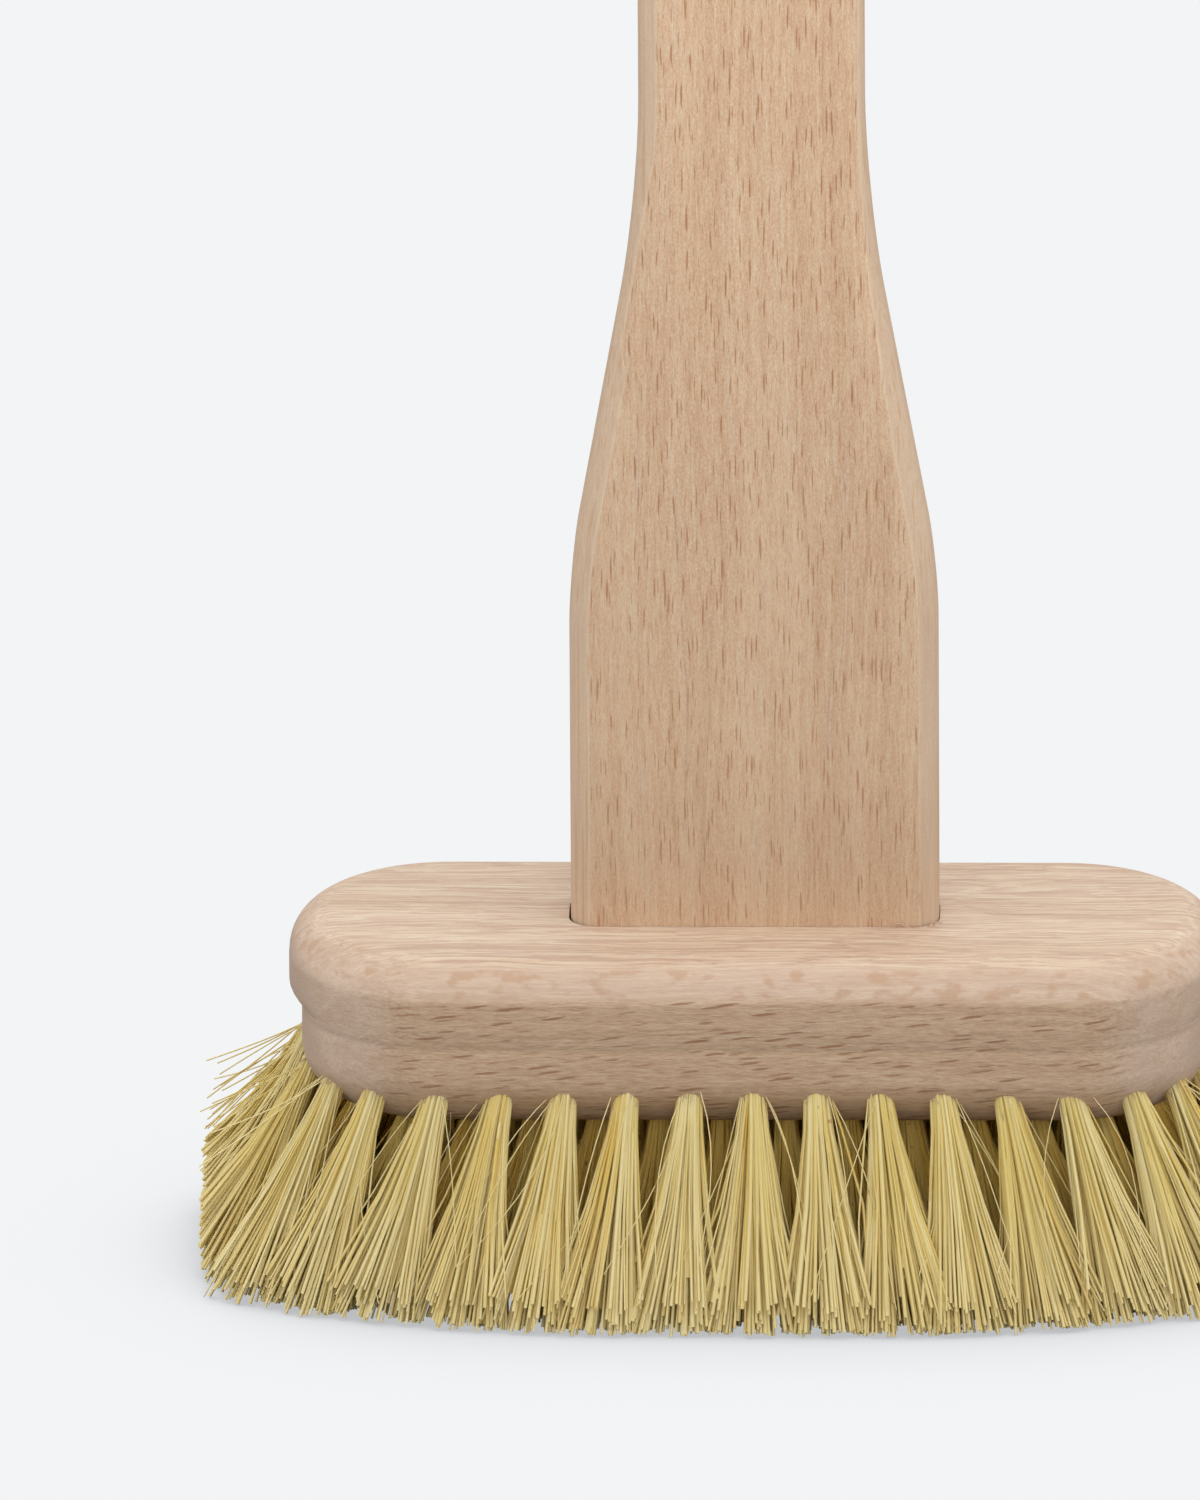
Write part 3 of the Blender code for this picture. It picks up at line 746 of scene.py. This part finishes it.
def makeCover():
    low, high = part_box("cover_plate")
    bm = roundedBlock(low, high, cover["corner"], cover["topRadius"], cover["underRadius"], cover["steps"])
    radius = cover["underRadius"]

    def insetAt(height):
        rest = max(radius - (height - low.z), 0)
        return radius - math.sqrt(radius ** 2 - min(rest, radius) ** 2)

    easeTop(bm, high)
    easeFront(bm, insetAt, low.z)
    board = finished(bm, "coverBoard", headBeech)
    footLow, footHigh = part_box("handle")
    side = mortise["sideGap"]
    cutLow = Vector((footLow.x - mortise["leftGap"], footLow.y - side, footLow.z - mortise["underGap"]))
    cutHigh = Vector((footHigh.x + mortise["rightGap"], footHigh.y + side, high.z + mortise["above"]))
    pocket = roundedBlock(cutLow, cutHigh, mortise["corner"], 0, 0, mortise["steps"])
    carve(board, [meshOf(pocket, "pocket")])
    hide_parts("cover_plate")
    return board


# Tufts

tuftRings = {
    "outer": {
        "inset": 3.1 * mm, "frontMargin": 15 * mm, "endSplay": 14.4 * mm, "sideSplay": 15.1 * mm,
        "squareShare": 2.7, "endCount": 5, "lift": 5.6 * mm, "flare": 1.45,
        "fibres": 220, "endFill": 0.25, "wisps": 9, "hairs": 4,
        "node": "outer_tufts", "parts": ("Front", "Back"), "seed": 11,
    },
    "middle": {
        "inset": 13.05 * mm, "frontMargin": 20 * mm, "endSplay": 10.8 * mm, "sideSplay": 8.8 * mm,
        "squareShare": 3.4, "endCount": 3, "lift": 0.0, "flare": 1.8,
        "fibres": 146, "endFill": 0, "wisps": 0, "hairs": 1,
        "node": "middle_tufts", "parts": ("",), "seed": 12,
    },
    "inner": {
        "inset": 23.0 * mm, "frontMargin": 25 * mm, "endSplay": 5.0 * mm, "sideSplay": 3.0 * mm,
        "squareShare": 8.0, "endCount": 0, "lift": 0.0, "flare": 1.8,
        "fibres": 110, "endFill": 0, "wisps": 0, "hairs": 0,
        "node": "inner_tufts", "parts": ("",), "seed": 13,
    },
}
# A lean, trim, height, bow or spread with no mm beside it is in millimetres, and the rest are shares.
tuftShape = {
    "pitch": 10 * mm,
    "tightCorner": 2 * mm,
    "rootRadius": 1.62 * mm,
    "rimward": 0.42,                   # 0.5 fills a hole evenly, and less than that crowds its rim
    "inHole": 4.0 * mm,
    "alongSpread": 8.6 * mm,
    "acrossSpread": 3.3 * mm,
    "lean": (0.5, 0.3),
    "clumps": 13,
    "clumpShare": 0.65,
    "gather": (0.0, 0.5),
    "endStart": 0.75,
    "endDrop": 0.6,
    "endFan": 9.0 * mm,
    "fanShare": (0.5, 1.6),
    "trim": (0.45, 1.2),
}
fibreShape = {
    "radius": 0.26 * mm,
    "thickShare": 0.35,
    "thick": (1.1, 1.4),
    "thin": (0.7, 1.05),
    "steps": (0.0, 0.22, 0.56, 1.0),
    "height": (0.22, 1.3),
    "shortShare": 0.28,
    "shortOutside": 0.35,
    "shortHeight": (0.4, 5.5),
    "bow": 0.35,
    "bowTurn": 9,
    "strayShare": 0.07,
    "strayReach": (1.0, 1.5),
    "strayBow": 1.1,
    "strayThin": 0.7,
    "toneShare": 0.15,
}
coreShape = {
    "count": 12,
    "radius": 0.55 * mm,
    "inside": 0.5,
    "length": (0.80, 0.93),
    # painted warm shade: the hidden core strands take only the deep gold end of the tones
    "tone": 0.2,
}
wispShape = {
    "endStart": 0.8,
    "frontLimit": -6 * mm,
    "frontShare": 0.3,
    "reach": 0.85,
    "alongSpread": 4,
    "trim": (0.3, 3.5),
    "height": (9, 27),
    "bow": (0.6, 0.8),
    "thick": 1.3,
}
hairShape = {
    "radius": 0.09 * mm,
    "steps": (0.0, 0.1, 0.22, 0.35, 0.48, 0.6, 0.72, 0.84, 0.93, 1.0),
    "alongSpread": (-15, 15),
    "acrossSpread": (-1, 2),
    "height": (1, 12),
    "bow": (0, 2.2),
    "bowSkew": 0.8,
    "turn": (-0.6, 0.6),
    "tone": (0.7, 1),
}


def lowerRise(inset):
    inward = min(max(stock["lowerRadius"] - (inset - stock["setBack"]), 0), stock["lowerRadius"])
    return stock["lowerRadius"] - math.sqrt(stock["lowerRadius"] ** 2 - inward ** 2)


def quarterPlaces(ring):
    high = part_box("cover_plate")[1]
    halfLength = high.x - ring["inset"]
    halfWidth = high.y - ring["inset"]
    corner = max(cover["corner"] - ring["inset"], tuftShape["tightCorner"])
    straight = halfLength - corner
    whole = straight + corner * math.pi / 2 + halfWidth - corner

    def travelled(x):
        return x if x <= straight else straight + corner * math.asin(min((x - straight) / corner, 1))

    def place(distance):
        if distance <= straight:
            return distance, -halfWidth
        angle = (distance - straight) / corner
        if angle <= math.pi / 2:
            return straight + corner * math.sin(angle), corner - halfWidth - corner * math.cos(angle)
        return halfLength, distance - whole

    reach = high.x - ring["frontMargin"]
    gaps = round(2 * reach / tuftShape["pitch"])
    pitch = 2 * reach / gaps
    first = pitch / 2 if gaps % 2 else 0
    front = [travelled(first + pitch * index) for index in range(gaps // 2 + 1)]
    gap = 2 * (whole - front[-1]) / (ring["endCount"] + 1)
    end = [front[-1] + gap * index for index in range(1, ring["endCount"] // 2 + 1)]
    places = [place(distance) for distance in front + end]
    if ring["endCount"] % 2:
        places.append((halfLength, 0))
    return places


def tuftsOf(ring):
    # (mouth, tip) pairs all round the head, from the middle of the front.
    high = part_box("cover_plate")[1]
    halfLength = high.x - ring["inset"]
    tipLength = halfLength + ring["endSplay"]
    tipWidth = high.y - ring["inset"] + ring["sideSplay"]
    bottom = stockBottom() + lowerRise(ring["inset"])
    tufts = []
    for sideX, sideY in ((1, 1), (1, -1), (-1, -1), (-1, 1)):
        quarter = []
        for x, y in quarterPlaces(ring):
            if (sideX < 0 and x == 0) or (sideY < 0 and y == 0):
                continue
            share = min(x / halfLength, 1)
            across = (1 - share ** ring["squareShare"]) ** (1 / ring["squareShare"])
            rounding = limited((x - high.x + cover["corner"]) / (cover["corner"] - ring["inset"]))
            lift = ring["lift"] * (1 - rounding * tuftShape["endDrop"])
            mouth = Vector((sideX * x, sideY * y, bottom + lift))
            tip = Vector((sideX * share * tipLength, -sideY * across * tipWidth, 0))
            quarter.append((mouth, tip))
        tufts.extend(quarter if sideX == sideY else reversed(quarter))
    return tufts


class Tuft:
    # One tuft with its directions: along the ring and out of it, both level, then its axis and its two sides.
    def __init__(self, tufts, index):
        self.mouth, self.tip = tufts[index]
        self.along = (tufts[(index + 1) % len(tufts)][1] - tufts[index - 1][1]).normalized()
        self.across = Vector((self.along.y, -self.along.x, 0))
        self.axis = (self.tip - self.mouth).normalized()
        self.sideways = (self.along - self.axis * self.along.dot(self.axis)).normalized()
        self.outwards = self.axis.cross(self.sideways)
        self.outwards *= math.copysign(1, self.outwards.dot(self.across))

    def rootAt(self, x, y):
        return self.mouth + (self.sideways * x + self.outwards * y) * tuftShape["rootRadius"]


def discPoint(draw):
    angle = draw.uniform(0, math.tau)
    radius = draw.random() ** tuftShape["rimward"]
    return Vector((radius * math.cos(angle), radius * math.sin(angle)))


def trimmed(root, goal, draw):
    # Where a fibre ends, cut short where it would leave the brush's box
    share = 1.0
    for axis in (0, 1):
        limit = cadBox[1][axis] - draw.uniform(*tuftShape["trim"]) * mm
        if abs(goal[axis]) > limit:
            share = min(share, (limit - abs(root[axis])) / (abs(goal[axis]) - abs(root[axis])))
    return root.lerp(goal, share)


def curvedRoute(root, goal, axis, bow, draw):
    way = axis.cross(goal - root).normalized()
    lift = (goal - root).cross(way).normalized()
    turn = draw.uniform(*hairShape["turn"])
    out = lift * math.cos(turn) + way * math.sin(turn)
    route = [root - axis * tuftShape["inHole"]]
    for step in hairShape["steps"]:
        bent = math.sin(math.pi * step ** hairShape["bowSkew"])
        route.append(root.lerp(goal, step) + out * bow * bent)
    return route


def tuftFibres(tuft, ring, draw):
    # Each fibre keeps its place in the hole and opens out with its clump towards the tip.
    shape = tuftShape
    one = fibreShape
    endShare = max(abs(tuft.tip.x) / cadBox[1][0] - shape["endStart"], 0) / (1 - shape["endStart"])
    clumps = [(discPoint(draw), draw.random()) for _ in range(shape["clumps"])]
    lean = Vector([draw.gauss(0, spread) for spread in shape["lean"]]) * mm
    drop = tuft.tip - tuft.mouth
    fibres = []
    count = round(ring["fibres"] * (1 + endShare * ring["endFill"]))
    for number in range(count + coreShape["count"]):
        core = number < coreShape["count"]
        place = discPoint(draw)
        if core:
            place *= coreShape["inside"]
        clump, clumpTone = min(clumps, key=lambda other: (other[0] - place).length)
        spot = place.lerp(clump, draw.uniform(*shape["gather"]))
        stray = draw.random() < one["strayShare"]
        if stray:
            spot = place * draw.uniform(*one["strayReach"])
        root = tuft.rootAt(place.x, place.y)
        fan = endShare * max(spot.y, 0) ** 2 * shape["endFan"] * draw.uniform(*shape["fanShare"])
        goal = tuft.tip + tuft.along * (spot.x * shape["alongSpread"] + lean.x) + tuft.across * (
            spot.y * shape["acrossSpread"] + lean.y + fan)
        goal.z = draw.uniform(*one["height"]) * mm
        if draw.random() < one["shortShare"] + max(spot.y, 0) * one["shortOutside"]:
            goal.z += draw.uniform(*one["shortHeight"]) * mm
        bow = draw.gauss(0, one["strayBow"] if stray else one["bow"]) * mm
        turn = place.x * one["bowTurn"]
        bowWay = (tuft.sideways * math.cos(turn) + tuft.outwards * math.sin(turn)) * bow
        goal = trimmed(root, goal, draw)
        reached = 1.0
        thick = draw.uniform(*(one["thick"] if draw.random() < one["thickShare"] else one["thin"]))
        radius = thick * (one["strayThin"] if stray else 1) * one["radius"]
        if core:
            # Thick strands in the middle close the tuft, and stop short of the tips.
            reached = draw.uniform(*coreShape["length"])
            radius = coreShape["radius"]
        route = [root - tuft.axis * shape["inHole"]]
        for step in one["steps"]:
            step *= reached
            straight = root + drop * step
            opened = (goal - root - drop) * step ** ring["flare"]
            route.append(straight + opened + bowWay * math.sin(math.pi * step))
        tone = draw.random()
        if draw.random() < shape["clumpShare"]:
            tone = limited(clumpTone + (tone - 0.5) * one["toneShare"])
        # Core strands take the deep gold tones, as painted warm shade inside the tuft
        fibres.append((route, radius, tone * (coreShape["tone"] if core else 1)))
    return fibres


def tuftWisps(tuft, ring, draw):
    # Fine fibres that stand off the ends of the head, and fewer of them towards the front
    shape = wispShape
    if abs(tuft.mouth.x) <= shape["endStart"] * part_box("cover_plate")[1].x:
        return []
    wisps = []
    share = 1 if tuft.mouth.y > shape["frontLimit"] else shape["frontShare"]
    for _ in range(round(ring["wisps"] * share)):
        place = discPoint(draw)
        root = tuft.rootAt(place.x, abs(place.y))
        goal = tuft.tip * shape["reach"] + tuft.along * draw.gauss(0, shape["alongSpread"]) * mm
        goal.x = math.copysign(cadBox[1][0] - draw.uniform(*shape["trim"]) * mm, tuft.tip.x)
        goal.z = draw.uniform(*shape["height"]) * mm
        goal = trimmed(root, goal, draw)
        route = curvedRoute(root, goal, tuft.axis, draw.gauss(*shape["bow"]) * mm, draw)
        wisps.append((route, hairShape["radius"] * shape["thick"], draw.random()))
    return wisps


def tuftHairs(tuft, ring, draw):
    # Thin hairs that bow out and cross to the next tuft
    shape = hairShape
    hairs = []
    for _ in range(ring["hairs"]):
        place = discPoint(draw)
        root = tuft.rootAt(place.x, place.y)
        goal = tuft.tip + tuft.along * draw.uniform(*shape["alongSpread"]) * mm
        goal += tuft.across * draw.uniform(*shape["acrossSpread"]) * mm
        goal.z = draw.uniform(*shape["height"]) * mm
        goal = trimmed(root, goal, draw)
        route = curvedRoute(root, goal, tuft.axis, draw.gauss(*shape["bow"]) * mm, draw)
        hairs.append((route, shape["radius"], draw.uniform(*shape["tone"])))
    return hairs


def strandMesh(routes, name):
    curve = bpy.data.curves.new(name, "CURVE")
    curve.dimensions = "3D"
    curve.bevel_depth = 1.0
    curve.bevel_resolution = 0
    curve.use_fill_caps = True
    for route, radius, _ in routes:
        spline = curve.splines.new("POLY")
        spline.points.add(len(route) - 1)
        for point, place in zip(spline.points, route):
            point.co = (*place, 1)
            point.radius = radius
    source = newObject(name, curve)
    ready = source.evaluated_get(bpy.context.evaluated_depsgraph_get())
    mesh = bpy.data.meshes.new_from_object(ready)
    mesh.name = name
    bpy.data.objects.remove(source)
    # The mesh starts with the end caps, last strand first, and then come the rings of each tube.
    corners = 4
    tone = []
    reach = []
    for _, _, value in reversed(routes):
        tone += [value] * 2 * corners
        reach += [1] * corners + [0] * corners
    for route, _, value in routes:
        tone += [value] * len(route) * corners
        for step in range(len(route)):
            reach += [step / (len(route) - 1)] * corners
    mesh.attributes.new("tone", "FLOAT", "POINT").data.foreach_set("value", tone)
    mesh.attributes.new("reach", "FLOAT", "POINT").data.foreach_set("value", reach)
    mesh.shade_smooth()
    return mesh


def makeBristles(name, ring):
    draw = random.Random(ring["seed"])
    places = tuftsOf(ring)
    tufts = []
    for index in range(len(places)):
        tuft = Tuft(places, index)
        tufts.append(tuftFibres(tuft, ring, draw) + tuftWisps(tuft, ring, draw) + tuftHairs(tuft, ring, draw))
    # Tufts run round the head from the middle of the front, and the back ones are the middle half.
    quarter = len(tufts) // 4
    chosen = {"": tufts, "Front": tufts[:quarter] + tufts[-quarter:], "Back": tufts[quarter:-quarter]}
    made = []
    for side in ring["parts"]:
        routes = [route for own in chosen[side] for route in own]
        full = name + "Bristles" + side
        bristles = addPiece(strandMesh(routes, full), full, fibreMaterials[name])
        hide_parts(ring["node"])
        print(full, len(routes), "fibres,", 2 * len(bristles.data.polygons), "triangles")
        made.append(bristles)
    return made


def holeCutters():
    radius = stock["holeRadius"]
    meshes = []
    for ring in tuftRings.values():
        for mouth, tip in tuftsOf(ring):
            axis = (tip - mouth).normalized()
            turn = (-axis).to_track_quat("Z", "Y").to_matrix().to_4x4()
            bm = bmesh.new()
            bmesh.ops.create_cone(
                bm, cap_ends=True, segments=stock["holeSteps"], radius1=radius, radius2=radius,
                depth=2 * stock["holeDepth"], matrix=Matrix.Translation(mouth) @ turn,
            )
            meshes.append(meshOf(bm, "hole"))
    return meshes


def makeStock():
    coverLow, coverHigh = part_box("cover_plate")
    bottom = stockBottom()
    back = stock["setBack"]
    low = Vector((coverLow.x + back, coverLow.y + back, bottom))
    high = Vector((coverHigh.x - back, coverHigh.y - back, coverLow.z))
    bm = roundedBlock(low, high, stock["corner"], 0, stock["lowerRadius"], stock["steps"])

    wallLow = bottom + stock["lowerRadius"]
    slices = stock["wallSlices"]
    slicedAt(bm, [wallLow + (high.z - wallLow) * step / slices for step in range(1, slices)])

    def insetAt(height):
        share = limited((height - wallLow) / stock["easeReach"] + stock["easeBelow"])
        return back * share * share * (3 - 2 * share)

    easeFront(bm, insetAt, high.z)
    board = finished(bm, "stockBoard", headBeech)
    carve(board, holeCutters())
    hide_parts("bristle_stock")
    return board


# Lengths are in millimetres. A shaving has its x and y on the cover, its length and its turn in degrees.
splinters = {
    "seed": 31,
    "perMouth": 6,
    "length": (0.5, 1.9),
    "radius": (0.05, 0.10),
    "fromRim": 0.1,
    "castHeight": 14,
    "castReach": 22,
    "lean": (-0.9, 0.9),
    "lift": 0.2,
    "rooted": 0.2,
    "curl": (0.05, 0.3),
    "curlEnd": 0.8,
    "steps": (0.0, 0.25, 0.5, 0.75, 1.0),
}
shavings = {
    "places": (
        (24.2, -7.2, 1.7, 200),
        (25.3, -7.3, 1.2, 320),
        (27.6, -6.9, 2.6, 20),
        (28.6, -6.2, 1.9, 60),
    ),
    "slope": (0.6, 0.25),
    "sunk": 0.1,
    "curl": 0.6,
    "radius": 0.11,
}


def splinterRoute(start, way, up, length, curl):
    route = []
    for step in splinters["steps"]:
        curled = math.sin(math.pi * step * splinters["curlEnd"])
        route.append(start + way * length * step + up * curl * curled)
    return route


def mouthSplinters(board):
    draw = random.Random(splinters["seed"])
    surface = BVHTree.FromObject(board, bpy.context.evaluated_depsgraph_get())
    routes = []
    for mouth, tip in tuftsOf(tuftRings["outer"]):
        axis = (tip - mouth).normalized()
        for _ in range(splinters["perMouth"]):
            radial = axis.orthogonal().normalized()
            radial.rotate(Quaternion(axis, draw.uniform(0, math.tau)))
            start = mouth + radial * (stock["holeRadius"] + splinters["fromRim"] * mm)
            start += axis * splinters["castHeight"] * mm
            hit, normal = surface.ray_cast(start, -axis, splinters["castReach"] * mm)[:2]
            if hit is None:
                continue
            length = draw.uniform(*splinters["length"]) * mm
            way = axis + axis.cross(radial) * draw.uniform(*splinters["lean"]) + normal * splinters["lift"]
            way.normalize()
            root = hit - way * splinters["rooted"] * mm
            route = splinterRoute(root, way, normal, length, draw.uniform(*splinters["curl"]) * mm)
            routes.append((route, draw.uniform(*splinters["radius"]) * mm, 0))
    return routes


def footShavings():
    routes = []
    out, up = shavings["slope"]
    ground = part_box("cover_plate")[1].z - shavings["sunk"] * mm
    for x, y, length, turn in shavings["places"]:
        turn = math.radians(turn)
        way = Vector((math.cos(turn), -abs(math.sin(turn)) * out, up)).normalized()
        start = Vector((x * mm, y * mm, ground))
        route = splinterRoute(start, way, Vector((0, 0, 1)), length * mm, shavings["curl"] * mm)
        routes.append((route, shavings["radius"] * mm, 0))
    return routes


def makeSplinters(board):
    # Torn wood round the drilled mouths, and a few shavings left at the foot of the handle.
    mesh = strandMesh(mouthSplinters(board) + footShavings(), "tornSplinters")
    piece = addPiece(mesh, "tornSplinters", headBeech)
    return piece


pieces = [makeHandle(), makeCover(), makeStock()]
pieces.append(makeSplinters(pieces[2]))
print("boards ready")
for name, ring in tuftRings.items():
    pieces.extend(makeBristles(name, ring))
for piece in pieces:
    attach(piece, "root")
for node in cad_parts.values():
    if not node.hide_render:
        node.data.materials.clear()
        node.data.materials.append(steelMaterial)


# Studio

studio = {
    "paper": (0.896, 0.905, 0.913),
    "floorSize": 6.0,
    "shadow": (0.50, 0.51, 0.52),
    "shadowReach": 40 * mm,
    "shadowOpen": (0.2, 1.0),
    "shadowSamples": 16,
    "floorBounce": 0.25,
    "light": 0.80,
}
lamps = {
    "overhead": {"place": (0.10, -0.10, 1.1), "aim": (0, 0, 0.05), "size": 0.7, "power": 3.0},
    "front": {"place": (0.20, -1.20, 0.60), "aim": (0, 0, 0.30), "size": 0.3, "power": 25.0, "cone": 22.0},
    "right": {"place": (0.90, -0.35, 0.50), "aim": (0, 0, 0.10), "size": 0.5, "power": 1.7},
    "left": {"place": (-0.90, -0.35, 0.45), "aim": (0, 0, 0.10), "size": 0.5, "power": 1.5},
}


def makeFloor():
    bm = bmesh.new()
    bmesh.ops.create_grid(bm, x_segments=1, y_segments=1, size=studio["floorSize"] / 2)
    material, g = newMaterial("paperFloor")
    shadow = {"samples": studio["shadowSamples"]}
    openness = g.add("ShaderNodeAmbientOcclusion", shadow, {"Distance": studio["shadowReach"]}, "AO")
    shade = g.rise(openness, *studio["shadowOpen"])
    shown = g.blend(shade, rgba(studio["shadow"]), rgba(studio["paper"]))
    seen = g.add("ShaderNodeEmission", None, {"Color": shown, "Strength": 1.0})
    bounce = g.add("ShaderNodeBsdfDiffuse", None, {"Color": rgba([studio["floorBounce"]] * 3)})
    camera = g.add("ShaderNodeLightPath", output="Is Camera Ray")
    g.close(g.add("ShaderNodeMixShader", None, {0: camera, 1: bounce, 2: seen}))
    floor = addPiece(meshOf(bm, "floor"), "floor", material)


def makeWorld():
    world = bpy.data.worlds.new("studio")
    bpy.context.scene.world = world
    g = Graph(world)
    light = g.add("ShaderNodeBackground", None, {"Color": rgba((1, 1, 1)), "Strength": studio["light"]})
    paper = g.add("ShaderNodeBackground", None, {"Color": rgba(studio["paper"]), "Strength": 1.0})
    camera, glossy, through = (
        g.add("ShaderNodeLightPath", output=name)
        for name in ("Is Camera Ray", "Is Glossy Ray", "Is Transmission Ray")
    )
    plain = g.clamped(camera + glossy + through)
    mixed = g.add("ShaderNodeMixShader", None, {0: plain, 1: light, 2: paper})
    g.add("ShaderNodeOutputWorld", None, {"Surface": mixed})


def makeLamp(name):
    setting = lamps[name]
    light = bpy.data.lights.new(name, "SPOT" if "cone" in setting else "AREA")
    light.energy = setting["power"]
    if "cone" in setting:
        light.spot_size = math.radians(setting["cone"])
        light.spot_blend = 1.0
        light.shadow_soft_size = setting["size"] / 2
    else:
        light.size = setting["size"]
    lamp = newObject(name, light)
    lamp.location = setting["place"]
    aim = Vector(setting["aim"]) - lamp.location
    lamp.rotation_euler = aim.to_track_quat("-Z", "Y").to_euler()


makeFloor()
makeWorld()
for name in lamps:
    makeLamp(name)


# Camera

view = {
    "distance": 8.0,
    "sensorHeight": 36.0,
    "lens": 1195.0,
    "pitch": 20.0,
    "yaw": 1.3,
    "roll": 0.33,
    "aim": (-24.85 * mm, 0.0, 85.1 * mm),
    "clipEnd": 20.0,
}


def makeCamera():
    data = bpy.data.cameras.new("camera")
    data.sensor_fit = "VERTICAL"
    data.sensor_height = view["sensorHeight"]
    data.lens = view["lens"]
    data.clip_end = view["clipEnd"]
    camera = newObject("camera", data)
    pitch = math.radians(view["pitch"])
    yaw = math.radians(view["yaw"])
    back = Vector((math.sin(yaw) * math.cos(pitch), -math.cos(yaw) * math.cos(pitch), math.sin(pitch)))
    camera.location = Vector(view["aim"]) + back * view["distance"]
    turn = (-back).to_track_quat("-Z", "Y").to_matrix() @ Matrix.Rotation(-math.radians(view["roll"]), 3, "Z")
    camera.rotation_euler = turn.to_euler()
    bpy.context.scene.camera = camera


makeCamera()
bpy.context.scene.view_settings.view_transform = "Standard"
print("studio ready")
